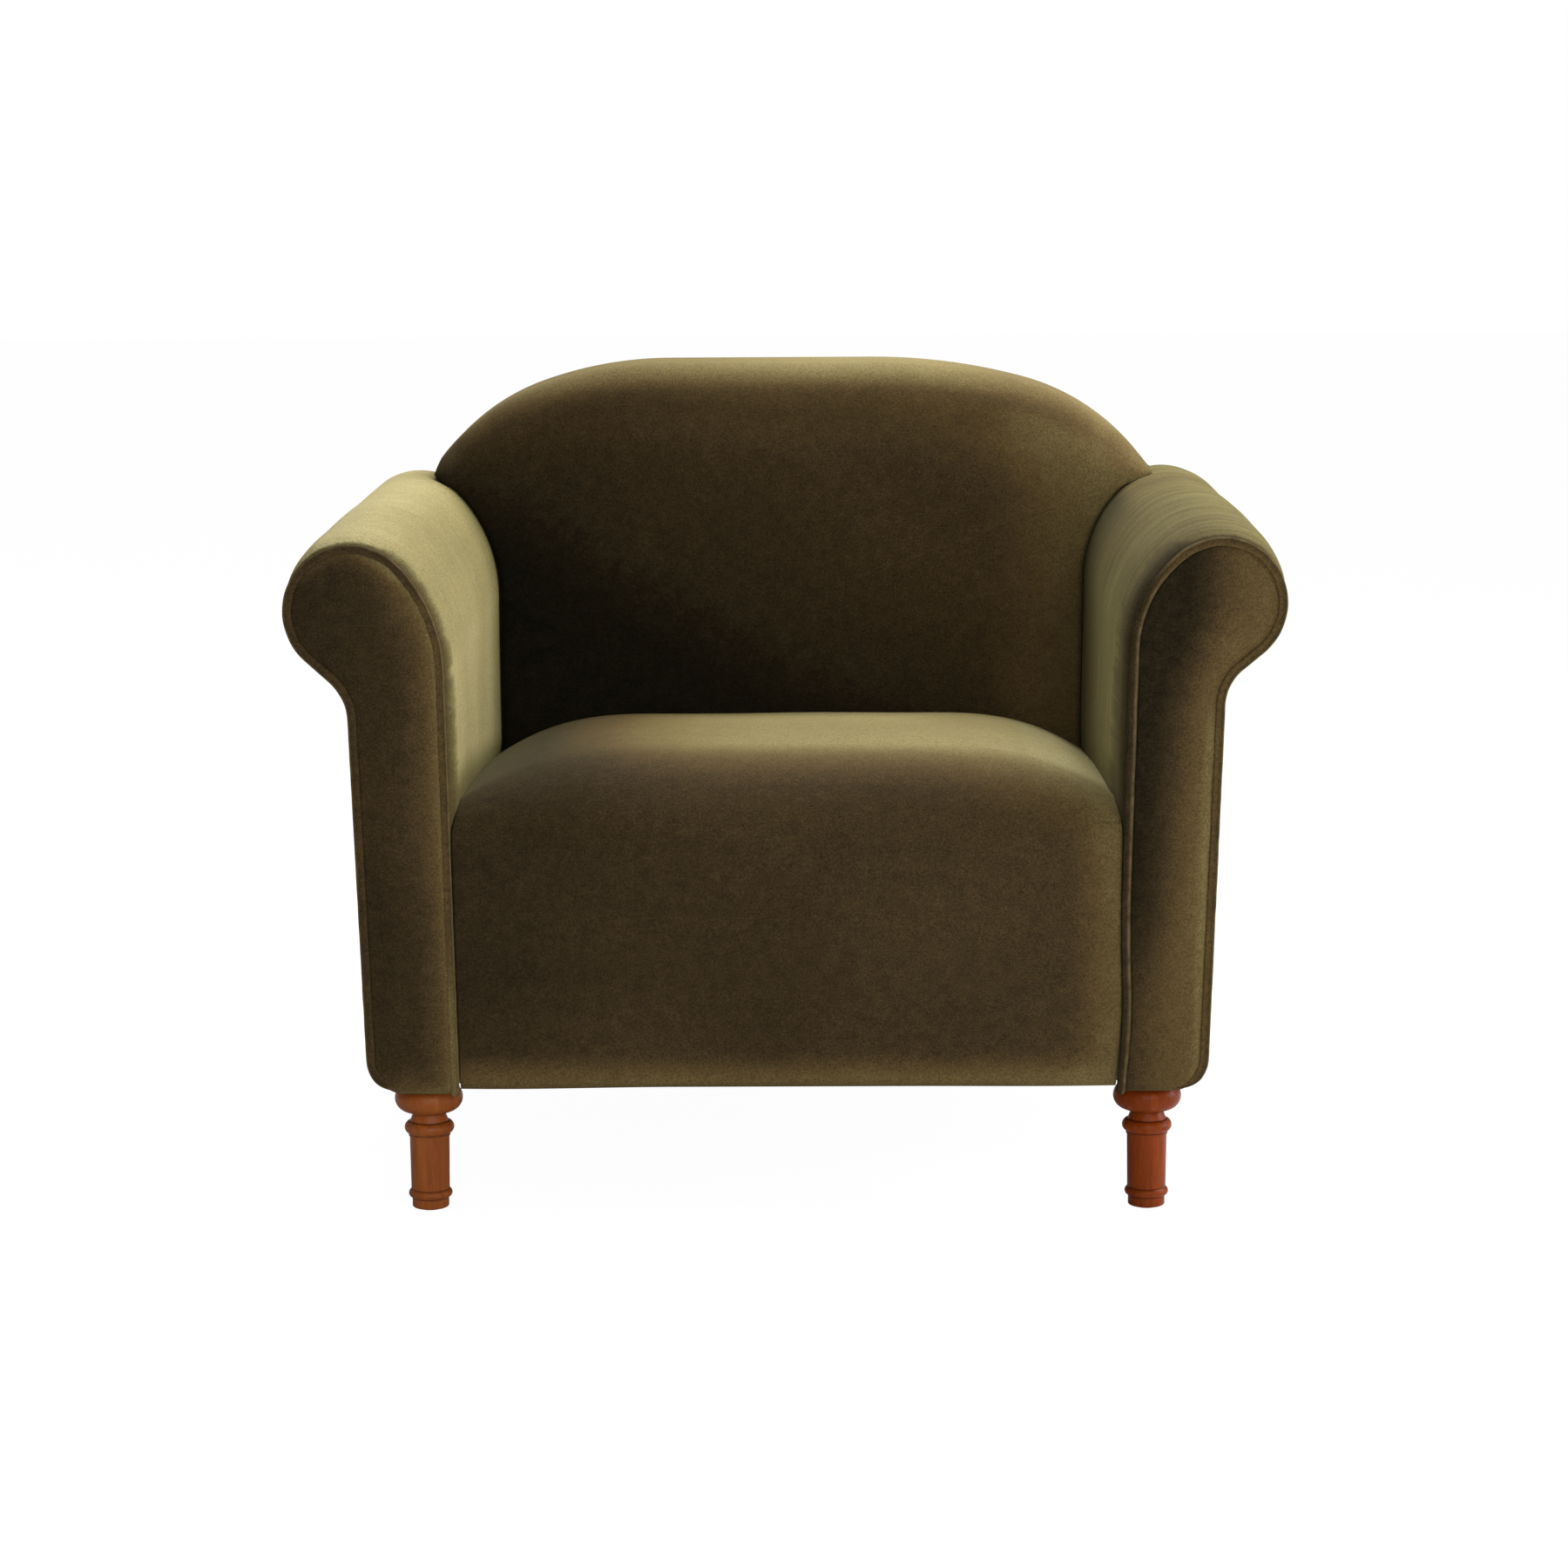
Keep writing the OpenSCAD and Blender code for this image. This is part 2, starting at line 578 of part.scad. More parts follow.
module back_top_rail() {
    inset = skin + edge_pad;
    color(plywood) difference() {
        intersection() {
            camel_top(inset + gap, arch_z);
            rear_slab(panel_t, panel_t + post_t);
        }
        camel_top(inset + arch_w, 0);
    }
}

module back_mid_rail() {
    color(timber) back_frame(rect(post_w - post_x, post_x - post_w, mid_z, mid_z + cross_h));
}

module back_lower_rail() {
    color(timber) back_frame(rect(post_w - post_x, post_x - post_w, low_z, low_z + cross_h));
}

// Upright straps of webbing behind two cross straps, which step back to the posts at their ends
module back_webbing() {
    t0 = panel_t + post_t;
    heights = [mix(low_z, mid_z, 0.55), mix(mid_z, arch_z, 0.55)];
    color("#6b5a3c") {
        for (x = [-150, 0, 150]) intersection() {
            rear_slab(t0, t0 + web_t);
            box([x - web_w / 2, 0, low_z], [x + web_w / 2, chair_d, chair_h - skin - edge_pad - 25]);
        }
        for (z = heights) intersection() {
            rear_slab(t0 + web_t / 2, t0 + 2 * web_t);
            box([-post_x, 0, z - web_w / 2], [post_x, chair_d, z + web_w / 2]);
        }
        for (z = heights) for (left = [true, false]) both(left) intersection() {
            rear_slab(t0, t0 + web_t);
            box([post_x - post_w, 0, z - web_w / 2 + 2], [post_x - 2, chair_d, z + web_w / 2 - 2]);
        }
    }
}

function spring_path(x0) = let (n = spring_waves * 8, y0 = spring_y0 - 5, y1 = spring_y1 + 5)
    [for (i = [0:n]) let (t = i / n, room = clamp01(6 * sin(180 * t) - 0.5))
        [x0 + spring_w * room * sin(360 * spring_waves * t), mix(y0, y1, t), spring_z + spring_arch * pow(sin(180 * t), 2)]];
function spring_x(i) = (i - (spring_count - 1) / 2) * spring_gap;

module seat_springs() {
    color("dimgray") for (i = [0:spring_count - 1]) tube(spring_path(spring_x(i)), wire_d / 2, 6);
}

module spring_clips() {
    clip_h = wire_d + 3;
    color("silver") for (i = [0:spring_count - 1]) for (y = [spring_y0, spring_y1])
        difference() {
            box([spring_x(i) - 7, y - 4, rail_top], [spring_x(i) + 7, y + 4, rail_top + clip_h]);
            translate([spring_x(i), y - 10, spring_z]) rotate([-90, 0, 0]) cylinder(r = wire_d / 2 + 0.4, h = 20, $fn = 32);
        }
}

module spring_felt() {
    color("#8d8470") box([10 - foot[0], board_back_y + 25, felt_z], [foot[0] - 10, back_y0 + 20, felt_z + felt_t]);
}

// Fibreboard under the arm padding, on the inner side and round the roll
module arm_liner(left) {
    d0 = pad_in;
    d1 = pad_in + liner_t;
    strip = concat([for (k = [1:neck_k]) arm_at(k, -d0)], [for (k = [neck_k:-1:1]) arm_at(k, -d1)]);
    color("#a58a62") both(left) intersection() {
        prism(strip, board_back_y, chair_d / 2);
        rear_slab(panel_t + board_t, chair_d + big);
    }
}

// Fibreboard behind the outside arm
module outer_liner(left) {
    outer = concat([arm_at(neck_k, -skin) - [0, 1]], [for (k = [neck_k + 1:last_k]) foot_at(k, -skin, frame_z)]);
    inner = concat([arm_at(neck_k, -panel_t) - [0, 1]], [for (k = [neck_k + 1:last_k]) foot_at(k, -panel_t, frame_z)]);
    strip = concat(outer, [for (i = [len(inner) - 1:-1:0]) inner[i]]);
    color("#a58a62") both(left) intersection() {
        prism(strip, face_back_y, chair_d / 2);
        rear_slab(panel_t, chair_d + big);
    }
}

module back_liner() {
    color("#a58a62") intersection() {
        union() {
            camel_top(skin + edge_pad + gap, arch_z - 1);
            prism(rect(-post_in - 1, post_in + 1, frame_z, arch_z), 0, chair_d / 2);
            for (left = [true, false]) both(left) prism(board_poly(), 0, chair_d / 2);
        }
        rear_slab(skin, panel_t);
    }
}

module seat_foam() {
    color("#e8dcb8") sheet(
        [for (i = [0:13]) [for (j = [last_s:-1:0]) seat_pt(i, last_s - j, skin)]],
        [for (i = [0:13]) [for (j = [last_s:-1:0]) seat_under(i, last_s - j)]]);
}

module seat_cover() {
    color(velvet) sheet(
        [for (i = [0:15]) [for (j = [0:last_s]) seat_pt(i, j, 0)]],
        [for (i = [0:15]) [for (j = [0:last_s]) seat_pt(i, j, cover_t)]]);
}

module back_foam() {
    rings = back_rings(skin, back_depth);
    color("#e8dcb8") dome(rings, [rings[0]]);
}

module back_cover() {
    color(velvet) dome(back_rings(0, skin), back_rings(cover_t, skin));
}

// Wadding over the edge of the top rail, inside the cover
module back_edge_padding() {
    color("#efe9d8") difference() {
        intersection() {
            camel_top(skin, arch_z);
            rear_slab(skin, panel_t + post_t);
        }
        camel_top(skin + edge_pad, 0);
    }
}

module arm_foam(left) {
    color("#e8dcb8") both(left) sheet(arm_grid(1, neck_k, skin, true), arm_grid(1, neck_k, skin + arm_pad, false));
}

module arm_cover(left) {
    color(velvet) both(left) sheet(arm_grid(1, neck_k, 0, true), arm_grid(1, neck_k, cover_t, true));
}

module arm_facing(left) {
    color(velvet) both(left) prism(arm_poly(-band_w - gap, leg_h), front_y + 1, face_back_y);
}

// Flat band round the facing, with its inner end hanging free
module arm_band(left) {
    mid_x = foot[0] + band_w / 2;
    color("#6b5a34") both(left) {
        difference() {
            prism(arm_poly(0, leg_h), front_y, face_back_y);
            prism(arm_poly(-band_w, leg_h - 20), front_y - 1, face_back_y + 1);
        }
        translate([mid_x, front_y, leg_h - band_tip + band_w / 2]) rotate([-90, 0, 0])
            cylinder(d = band_w, h = facing_t - 2, $fn = 48);
        box([foot[0], front_y, leg_h - band_tip + band_w / 2], [foot[0] + band_w, face_back_y - 2, leg_h + 1]);
    }
}

module outside_arm(left) {
    outer = concat([arm_at(neck_k, 0) - [0, gap]], [for (k = [neck_k + 1:last_k]) foot_at(k, 0, leg_h)]);
    inner = concat([arm_at(neck_k, -cover_t) - [0, gap]],
        [for (k = [neck_k + 1:last_k]) foot_at(k, -cover_t, leg_h + cover_t)]);
    strip = concat(outer, [for (i = [len(inner) - 1:-1:0]) inner[i]]);
    color(velvet) both(left) intersection() {
        prism(strip, wrap_y, chair_d / 2);
        rear_slab(skin, chair_d + big);
    }
}

module outside_back() {
    color(velvet) intersection() {
        union() {
            camel_top(0, rail_top - 1);
            prism(rect(-post_in, post_in, hem_z, rail_top), 0, chair_d);
            for (left = [true, false]) both(left) prism(arm_poly(0, hem_z), 0, chair_d);
        }
        rear_slab(0, cover_t);
    }
}

module dust_cover() {
    color("#2a2a2c") difference() {
        box([-post_out + 22, board_back_y + 2, frame_z - 1], [post_out - 22, rear_y(frame_z) - skin - 4, frame_z]);
        for (p = leg_spots) translate([p[0], p[1], 0]) cylinder(r = flange_r + 8, h = leg_h * 2, $fn = 64);
    }
}

// Turned leg about its own axis, with a blind bore for its bolt
module leg() {
    ball_r = ball_h / 2;
    ball_z = leg_h - ball_r;
    neck_z = leg_h - ball_h;
    bead_r = 6.6;
    bead_z = neck_z - neck_h - bead_r;
    shaft_z = bead_z - bead_r - 1;
    ring_z = 16;
    ring_r = 4.5;
    color(turned) difference() {
        rotate_extrude($fn = 96) {
            // Ball and the spigot that stands in the frame
            translate([ball_d / 2 - ball_r, ball_z]) intersection() {
                circle(r = ball_r, $fn = 64);
                translate([-(ball_d / 2 - ball_r), -ball_r]) square([ball_d / 2, ball_h]);
            }
            translate([0, neck_z]) square([ball_d / 2 - ball_r, ball_h]);
            translate([0, leg_h - 1]) square([spigot_r, frame_z - leg_h + 1]);
            // Neck and bead
            translate([0, bead_z]) square([neck_d / 2, neck_z - bead_z + 3]);
            translate([bead_d / 2 - bead_r, bead_z]) circle(r = bead_r, $fn = 48);
            polygon([[0, bead_z - bead_r], [bead_d / 2 - bead_r, bead_z - bead_r], [bead_d / 2 - bead_r + 1, bead_z + bead_r],
                [neck_d / 2, neck_z - 1], [0, neck_z - 1]]);
            // Shaft, with a small step above it
            translate([0, shaft_z - 1]) square([shaft_d / 2 + 1, bead_z - bead_r - shaft_z + 3]);
            polygon([[0, ring_z], [foot_d / 2 + 0.8, ring_z], [shaft_d / 2, shaft_z], [0, shaft_z]]);
            // Ring and collar at the foot
            translate([foot_d / 2 - 1, ring_z]) circle(r = ring_r, $fn = 48);
            translate([0, ring_z - ring_r]) square([foot_d / 2 - 1, 2 * ring_r]);
            translate([0, glide_h]) square([foot_d / 2 - 2, ring_z - glide_h]);
            translate([0, glide_h + 2]) square([foot_d / 2, ring_z - glide_h - 2]);
            translate([foot_d / 2 - 2, glide_h + 2]) circle(r = 2, $fn = 32);
        }
        translate([0, 0, bolt_low]) cylinder(r = bolt_d / 2 + 0.05, h = frame_z, $fn = 48);
        cylinder(r = glide_d / 2 + 0.1, h = glide_h + 2, $fn = 48);
    }
}

module leg_at(i) {
    translate([leg_spots[i][0], leg_spots[i][1], 0]) leg();
}

module leg_bolts() {
    color("silver") for (p = leg_spots) translate([p[0], p[1], bolt_low])
        cylinder(d = bolt_d, h = bolt_top - bolt_low, $fn = 48);
}

module leg_tee_nuts() {
    color("silver") for (p = leg_spots) translate([p[0], p[1], frame_z]) difference() {
        union() {
            cylinder(r = flange_r, h = flange_t - 0.3, $fn = 64);
            cylinder(r = nut_r, h = nut_h, $fn = 48);
        }
        translate([0, 0, -1]) cylinder(r = bolt_d / 2 + 0.05, h = nut_h + 2, $fn = 48);
    }
}

module leg_glides() {
    color("#2b2b2b") for (p = leg_spots) translate([p[0], p[1], 0]) {
        cylinder(r = glide_d / 2, h = glide_h + 2, $fn = 48);
    }
}

front_rail();
rear_rail();
side_rail(true);  // side_rail_left
side_rail(false);  // side_rail_right
corner_posts();
arm_front_board(true);  // arm_front_board_left
arm_front_board(false);  // arm_front_board_right
arm_rear_board(true);  // arm_rear_board_left
arm_rear_board(false);  // arm_rear_board_right
arm_top_rail(true);  // arm_top_rail_left
arm_top_rail(false);  // arm_top_rail_right
arm_tack_rail(true);  // arm_tack_rail_left
arm_tack_rail(false);  // arm_tack_rail_right
back_post(true);  // back_post_left
back_post(false);  // back_post_right
back_top_rail();
back_mid_rail();
back_lower_rail();
frame_screws();
seat_springs();
spring_clips();
spring_felt();
back_webbing();
arm_liner(true);  // arm_liner_left
arm_liner(false);  // arm_liner_right
outer_liner(true);  // outer_liner_left
outer_liner(false);  // outer_liner_right
back_liner();
seat_foam();
back_foam();
back_edge_padding();
arm_foam(true);  // arm_foam_left
arm_foam(false);  // arm_foam_right
seat_cover();
back_cover();
arm_cover(true);  // arm_cover_left
arm_cover(false);  // arm_cover_right
arm_facing(true);  // arm_facing_left
arm_facing(false);  // arm_facing_right
arm_band(true);  // arm_band_left
arm_band(false);  // arm_band_right
outside_arm(true);  // outside_arm_left
outside_arm(false);  // outside_arm_right
outside_back();
dust_cover();
leg_at(0);  // leg_front_left
leg_at(1);  // leg_front_right
leg_at(2);  // leg_rear_left
leg_at(3);  // leg_rear_right
leg_bolts();
leg_tee_nuts();
leg_glides();
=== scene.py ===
import math

import bmesh
import bpy
from mathutils import Matrix, Vector, kdtree, noise


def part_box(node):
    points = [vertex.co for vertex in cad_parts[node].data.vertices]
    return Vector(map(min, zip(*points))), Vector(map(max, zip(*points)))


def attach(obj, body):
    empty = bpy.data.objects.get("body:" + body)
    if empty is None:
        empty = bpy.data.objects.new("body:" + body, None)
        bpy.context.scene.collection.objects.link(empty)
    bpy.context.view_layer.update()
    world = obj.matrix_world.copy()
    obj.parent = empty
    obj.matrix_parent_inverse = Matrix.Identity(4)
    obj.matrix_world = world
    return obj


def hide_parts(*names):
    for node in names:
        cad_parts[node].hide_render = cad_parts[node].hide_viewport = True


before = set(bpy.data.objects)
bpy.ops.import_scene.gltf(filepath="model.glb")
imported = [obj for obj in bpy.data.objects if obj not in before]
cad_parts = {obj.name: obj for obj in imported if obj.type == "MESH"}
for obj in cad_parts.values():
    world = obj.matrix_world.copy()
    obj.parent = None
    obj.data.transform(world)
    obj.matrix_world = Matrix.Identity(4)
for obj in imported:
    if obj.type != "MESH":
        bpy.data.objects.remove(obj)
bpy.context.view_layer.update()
scene = bpy.context.scene
print("frame loaded")

# the chair's own sizes, in metres, the same as in the solids
chair = {
    "frontY": -0.395, "height": 0.808, "legHeight": 0.129, "backLean": 5.0, "footX": 0.327,
    "swell": 0.009, "swellRise": 0.085, "facingDepth": 0.007, "bandWidth": 0.0085, "railTop": 0.3113,
    "seatHeight": 0.454, "seatSetback": 0.004, "hem": 0.133,
    "backEdge": 0.050, "backCrown": 0.022, "backThickness": 0.170, "backRake": 12.5,
}
# each arm is upholstered by hand, so the two are a few millimetres apart
armLook = {
    "left": {"roll": (0.4253, 0.6134), "radius": 0.0654, "under": 47.7, "neck": 0.0544, "outerX": 0.4170,
             "lean": 1.86, "corner": 0.0357, "long": 0.158, "turn": 137.0,
             "full": 0.0, "flare": 0.62, "taper": 0.45, "bow": 0.0},
    "right": {"roll": (0.4270, 0.6186), "radius": 0.0640, "under": 50.4, "neck": 0.0482, "outerX": 0.4173,
              "lean": 2.02, "corner": 0.0346, "long": 0.125, "turn": 127.0,
              "full": 0.25, "flare": 0.42, "taper": 0.75, "bow": 0.0045},
}
backLook = {
    "left": {"flat": 0.1372, "radius": 0.4407, "turn": 19.24, "tight": 0.2439, "upright": 0.006},
    "right": {"flat": 0.0938, "radius": 0.6685, "turn": 15.0, "tight": 0.2532, "upright": 0.0},
}
softGap = 0.001
rearInset = 0.002       # how far the padding stops short of the plane of the outside back


def mixed(a, b, f):
    return a + (b - a) * f


def clamped(v, lo=0.0, hi=1.0):
    return max(lo, min(hi, v))


def smooth(v):
    v = clamped(v)
    return v * v * (3 - 2 * v)


def ease(v):
    return 1 - (1 - clamped(v)) ** 2


def turned(degrees):
    a = math.radians(degrees)
    return Vector((math.cos(a), math.sin(a)))


backTan = math.tan(math.radians(chair["backLean"]))
rakeTan = math.tan(math.radians(chair["backRake"]))


def rearY(z):
    return -chair["frontY"] - (chair["height"] - z) * backTan


# ---- camera: the photograph's place and slight roll, with its focal length, width and depth direction in pixels
shot = {"place": (0.0415, -4.535, 1.1342), "focal": 4900, "width": 1800, "depthRight": 50, "depthUp": 820,
        "roll": 0.236, "sensor": 36.0}


def placeCamera():
    data = bpy.data.cameras.new("camera")
    data.sensor_width = shot["sensor"]
    data.sensor_fit = "HORIZONTAL"
    data.lens = shot["sensor"] * shot["focal"] / shot["width"]
    data.clip_start, data.clip_end = 0.1, 60.0
    camera = bpy.data.objects.new("camera", data)
    scene.collection.objects.link(camera)
    roomY = Vector((shot["depthRight"] / shot["focal"], shot["depthUp"] / shot["focal"], -1.0)).normalized()
    roomX = Vector((-roomY.z, 0, roomY.x)).normalized()
    roomZ = roomX.cross(roomY)
    turn = Matrix((roomX, roomY, roomZ)).to_4x4() @ Matrix.Rotation(math.radians(-shot["roll"]), 4, "Z")
    turn.translation = Vector(shot["place"])
    camera.matrix_world = turn
    scene.camera = camera


placeCamera()
print("camera placed")


# ---- small helpers for node materials
def freshMaterial(name):
    mat = bpy.data.materials.new(name)
    mat.use_nodes = True
    mat.node_tree.nodes.clear()
    return mat, mat.node_tree


# each input is a plain value or the output that feeds it
def addNode(tree, kind, inputs, **settings):
    made = tree.nodes.new("ShaderNode" + kind)
    for key, value in settings.items():
        setattr(made, key, value)
    for key, value in inputs.items():
        if isinstance(value, bpy.types.NodeSocket):
            tree.links.new(value, made.inputs[key])
        else:
            made.inputs[key].default_value = value
    return made


def opaque(colour):
    return (*colour, 1.0)


def noiseNode(tree, vector, scale, detail, rough, distort=0.0):
    return addNode(tree, "TexNoise", {"Vector": vector, "Scale": scale, "Detail": detail, "Roughness": rough,
                                      "Distortion": distort}).outputs["Fac"]


def rampNode(tree, value, stops):
    made = addNode(tree, "ValToRGB", {"Fac": value})
    ramp = made.color_ramp
    while len(ramp.elements) < len(stops):
        ramp.elements.new(0.5)
    for element, (place, colour) in zip(ramp.elements, stops):
        element.position = place
        element.color = opaque(colour)
    return made.outputs["Color"]


def mixNode(tree, factor, a, b, blend="MIX"):
    return addNode(tree, "Mix", {0: factor, 6: a, 7: b}, data_type="RGBA", blend_type=blend).outputs[2]


def mathNode(tree, operation, *values):
    return addNode(tree, "Math", dict(enumerate(values)), operation=operation).outputs[0]


def stretched(tree, vector, scale):
    return addNode(tree, "Mapping", {"Vector": vector, "Scale": scale}).outputs["Vector"]


# a value that was stored on the mesh, vertex by vertex
def storedValue(tree, name):
    return addNode(tree, "Attribute", {}, attribute_name=name).outputs["Fac"]


def bumpNode(tree, height, strength, distance, **under):
    return addNode(tree, "Bump", {"Height": height, "Strength": strength, "Distance": distance,
                                  **under}).outputs["Normal"]


def surfaceOf(mat, inputs):
    shader = addNode(mat.node_tree, "BsdfPrincipled", inputs)
    addNode(mat.node_tree, "OutputMaterial", {"Surface": shader.outputs["BSDF"]})
    return mat


# ---- velvet: a dark pile with a slight sheen; most of its light and shade is painted into the stored lay
velvet = {
    # colour of the velvet by the stored lay, from painted shade through the pile's own tones to painted highlight
    "pile": ((0.00, (0.0034, 0.0038, 0.0022)), (0.10, (0.0150, 0.0110, 0.0050)), (0.20, (0.0430, 0.0284, 0.0124)),
             (0.35, (0.0970, 0.0635, 0.0240)), (0.50, (0.1550, 0.1170, 0.0455)), (0.70, (0.254, 0.209, 0.090)),
             (1.00, (0.490, 0.428, 0.215))),
    # the same on the arm wraps, which are brushed across and look greener
    "brushed": ((0.00, (0.0034, 0.0038, 0.0022)), (0.10, (0.0150, 0.0110, 0.0050)),
                (0.20, (0.0420, 0.0287, 0.0115)), (0.35, (0.0890, 0.0660, 0.0232)),
                (0.50, (0.1380, 0.1210, 0.0440)), (0.70, (0.250, 0.210, 0.091)), (1.00, (0.490, 0.428, 0.215))),
    # scale, detail, roughness and distortion of the brushed patches, the ribs of the weave and the single tufts
    "patches": (58.0, 5.0, 0.90, 0.2), "ribs": (1.0, 3.0, 0.65), "tufts": (500.0, 2.0, 0.85),
    "ribStretch": (150.0, 150.0, 560.0), "ribShare": 0.25, "mottle": 0.26,
    "grain": ((0.30, (0.58, 0.58, 0.58)), (0.70, (1.42, 1.42, 1.42))),
    # colour of the painted highlight along the bands' ridge
    "ridge": (0.20, 0.15, 0.070),
    "lintScale": 40.0, "lint": (0.13, 0.11, 0.07), "lintShape": ((0.0, (0.6, 0.6, 0.6)), (0.020, (0, 0, 0))),
    "tuftBump": (0.25, 0.0003), "ribBump": (0.10, 0.0008),
    "surface": {"Roughness": 0.9, "Specular IOR Level": 0.05, "Sheen Weight": 0.08, "Sheen Roughness": 0.34,
                "Sheen Tint": (1.0, 0.88, 0.40, 1.0)},
}


def velvetMaterial(name, pile="pile", ridge=None):
    mat, tree = freshMaterial(name)
    place = addNode(tree, "TexCoord", {}).outputs["Object"]
    patches = noiseNode(tree, place, *velvet["patches"])
    ribs = noiseNode(tree, stretched(tree, place, velvet["ribStretch"]), *velvet["ribs"])
    tufts = noiseNode(tree, place, *velvet["tufts"])
    both = mixNode(tree, velvet["ribShare"], patches, ribs)
    # the stored lay carries painted light and shade on top of the pile's own tone
    shifted = mathNode(tree, "MULTIPLY_ADD", both, velvet["mottle"], storedValue(tree, "lay"))
    centred = mathNode(tree, "SUBTRACT", shifted, velvet["mottle"] / 2)
    pileAndShade = rampNode(tree, centred, velvet[pile])
    colour = mixNode(tree, 1.0, pileAndShade, rampNode(tree, tufts, velvet["grain"]), "MULTIPLY")
    # a painted highlight along the band's ridge
    if ridge:
        colour = mixNode(tree, storedValue(tree, "ridgeSheen"), colour, opaque(ridge))
    # a few pale lint specks
    lint = addNode(tree, "TexVoronoi", {"Vector": place, "Scale": velvet["lintScale"]}).outputs["Distance"]
    colour = mixNode(tree, rampNode(tree, lint, velvet["lintShape"]), colour, opaque(velvet["lint"]))
    fine = bumpNode(tree, tufts, *velvet["tuftBump"])
    broad = bumpNode(tree, ribs, *velvet["ribBump"], Normal=fine)
    return surfaceOf(mat, {"Base Color": colour, "Normal": broad, **velvet["surface"]})


# ---- plain woven, wooden, metal and plastic finishes
def grainMaterial(name, dark, light, rough, stretch, bump=0.15, depth=0.0004, grooves=(), gloss=0.5):
    mat, tree = freshMaterial(name)
    place = addNode(tree, "TexCoord", {}).outputs["Object"]
    fibre = noiseNode(tree, stretched(tree, place, stretch), 1.0, 6.0, 0.62, 1.2)
    fine = noiseNode(tree, stretched(tree, place, tuple(v * 9 for v in stretch)), 1.0, 3.0, 0.7)
    both = mixNode(tree, 0.35, fibre, fine)
    colour = rampNode(tree, both, [(0.30, dark), (0.70, light)])
    if grooves:                                     # stain gathers in the turned grooves
        stops = [(0.0, (1, 1, 1))]
        for z in grooves:
            stops += [(10 * z - 0.010, (1, 1, 1)), (10 * z, (0.32, 0.26, 0.24)), (10 * z + 0.010, (1, 1, 1))]
        height = addNode(tree, "SeparateXYZ", {0: place}).outputs["Z"]
        stain = rampNode(tree, mathNode(tree, "MULTIPLY", height, 10.0), stops)
        colour = mixNode(tree, 1.0, colour, stain, "MULTIPLY")
    return surfaceOf(mat, {"Base Color": colour, "Normal": bumpNode(tree, both, bump, depth), "Roughness": rough,
                           "Specular IOR Level": gloss})


def metalMaterial(name, colour, rough):
    mat, tree = freshMaterial(name)
    scuff = noiseNode(tree, addNode(tree, "TexCoord", {}).outputs["Object"], 320.0, 4.0, 0.6)
    tone = rampNode(tree, scuff, [(0.3, tuple(c * 0.8 for c in colour)), (0.7, colour)])
    return surfaceOf(mat, {"Base Color": tone, "Metallic": 1.0, "Roughness": rough})


velvetCloth = velvetMaterial("oliveVelvet")
wrapCloth = velvetMaterial("brushedVelvet", "brushed")
bandCloth = velvetMaterial("bandVelvet", ridge=velvet["ridge"])
# the legs on the right get a darker copy of the stain
legWood = {"stretch": (60.0, 60.0, 8.0), "bump": 0.10, "depth": 0.0003,
           "grooves": (0.0115, 0.0205, 0.0778, 0.0910, 0.1010)}
turnedWood = grainMaterial("stainedBeech", (0.210, 0.048, 0.008), (0.380, 0.108, 0.019), 0.40, gloss=0.2,
                           **legWood)
deepWood = grainMaterial("deepStainedBeech", (0.100, 0.012, 0.001), (0.262, 0.048, 0.003), 0.38, gloss=0.12,
                         **legWood)
rawTimber = grainMaterial("rawTimber", (0.30, 0.19, 0.09), (0.52, 0.36, 0.20), 0.75, (8.0, 40.0, 40.0))
plyWood = grainMaterial("plywood", (0.27, 0.16, 0.08), (0.46, 0.31, 0.17), 0.75, (12.0, 200.0, 12.0))
fibreBoard = grainMaterial("fibreboard", (0.14, 0.09, 0.05), (0.27, 0.19, 0.11), 0.9, (90.0, 90.0, 90.0))
lining = grainMaterial("blackLining", (0.006, 0.006, 0.006), (0.020, 0.020, 0.021), 0.95, (260.0, 260.0, 260.0),
                       0.4, 0.0003)
feltCloth = grainMaterial("springFelt", (0.08, 0.07, 0.055), (0.22, 0.20, 0.17), 0.95, (150.0, 150.0, 150.0))
webCloth = grainMaterial("juteWebbing", (0.10, 0.065, 0.03), (0.25, 0.17, 0.09), 0.9, (300.0, 300.0, 20.0))
glidePlastic = grainMaterial("glidePlastic", (0.010, 0.010, 0.010), (0.028, 0.028, 0.028), 0.45,
                             (500.0, 500.0, 500.0), 0.1, 0.0001)
zincSteel = metalMaterial("zincSteel", (0.55, 0.55, 0.53), 0.38)
springSteel = metalMaterial("springSteel", (0.12, 0.12, 0.125), 0.45)

nodeFinish = {
    rawTimber: ["front_rail", "rear_rail", "side_rail_left", "side_rail_right", "corner_posts",
                "arm_top_rail_left", "arm_top_rail_right", "arm_tack_rail_left", "arm_tack_rail_right",
                "back_post_left", "back_post_right", "back_mid_rail", "back_lower_rail"],
    plyWood: ["arm_front_board_left", "arm_front_board_right", "arm_rear_board_left", "arm_rear_board_right",
              "back_top_rail"],
    fibreBoard: ["arm_liner_left", "arm_liner_right", "outer_liner_left", "outer_liner_right", "back_liner"],
    zincSteel: ["frame_screws", "spring_clips", "leg_bolts", "leg_tee_nuts"],
    springSteel: ["seat_springs"],
    feltCloth: ["spring_felt"],
    webCloth: ["back_webbing"],
    turnedWood: ["leg_front_left", "leg_rear_left"],
    deepWood: ["leg_front_right", "leg_rear_right"],
    glidePlastic: ["leg_glides"],
}
for finish, names in nodeFinish.items():
    for name in names:
        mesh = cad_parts[name].data
        mesh.materials.clear()
        mesh.materials.append(finish)
print("materials made")


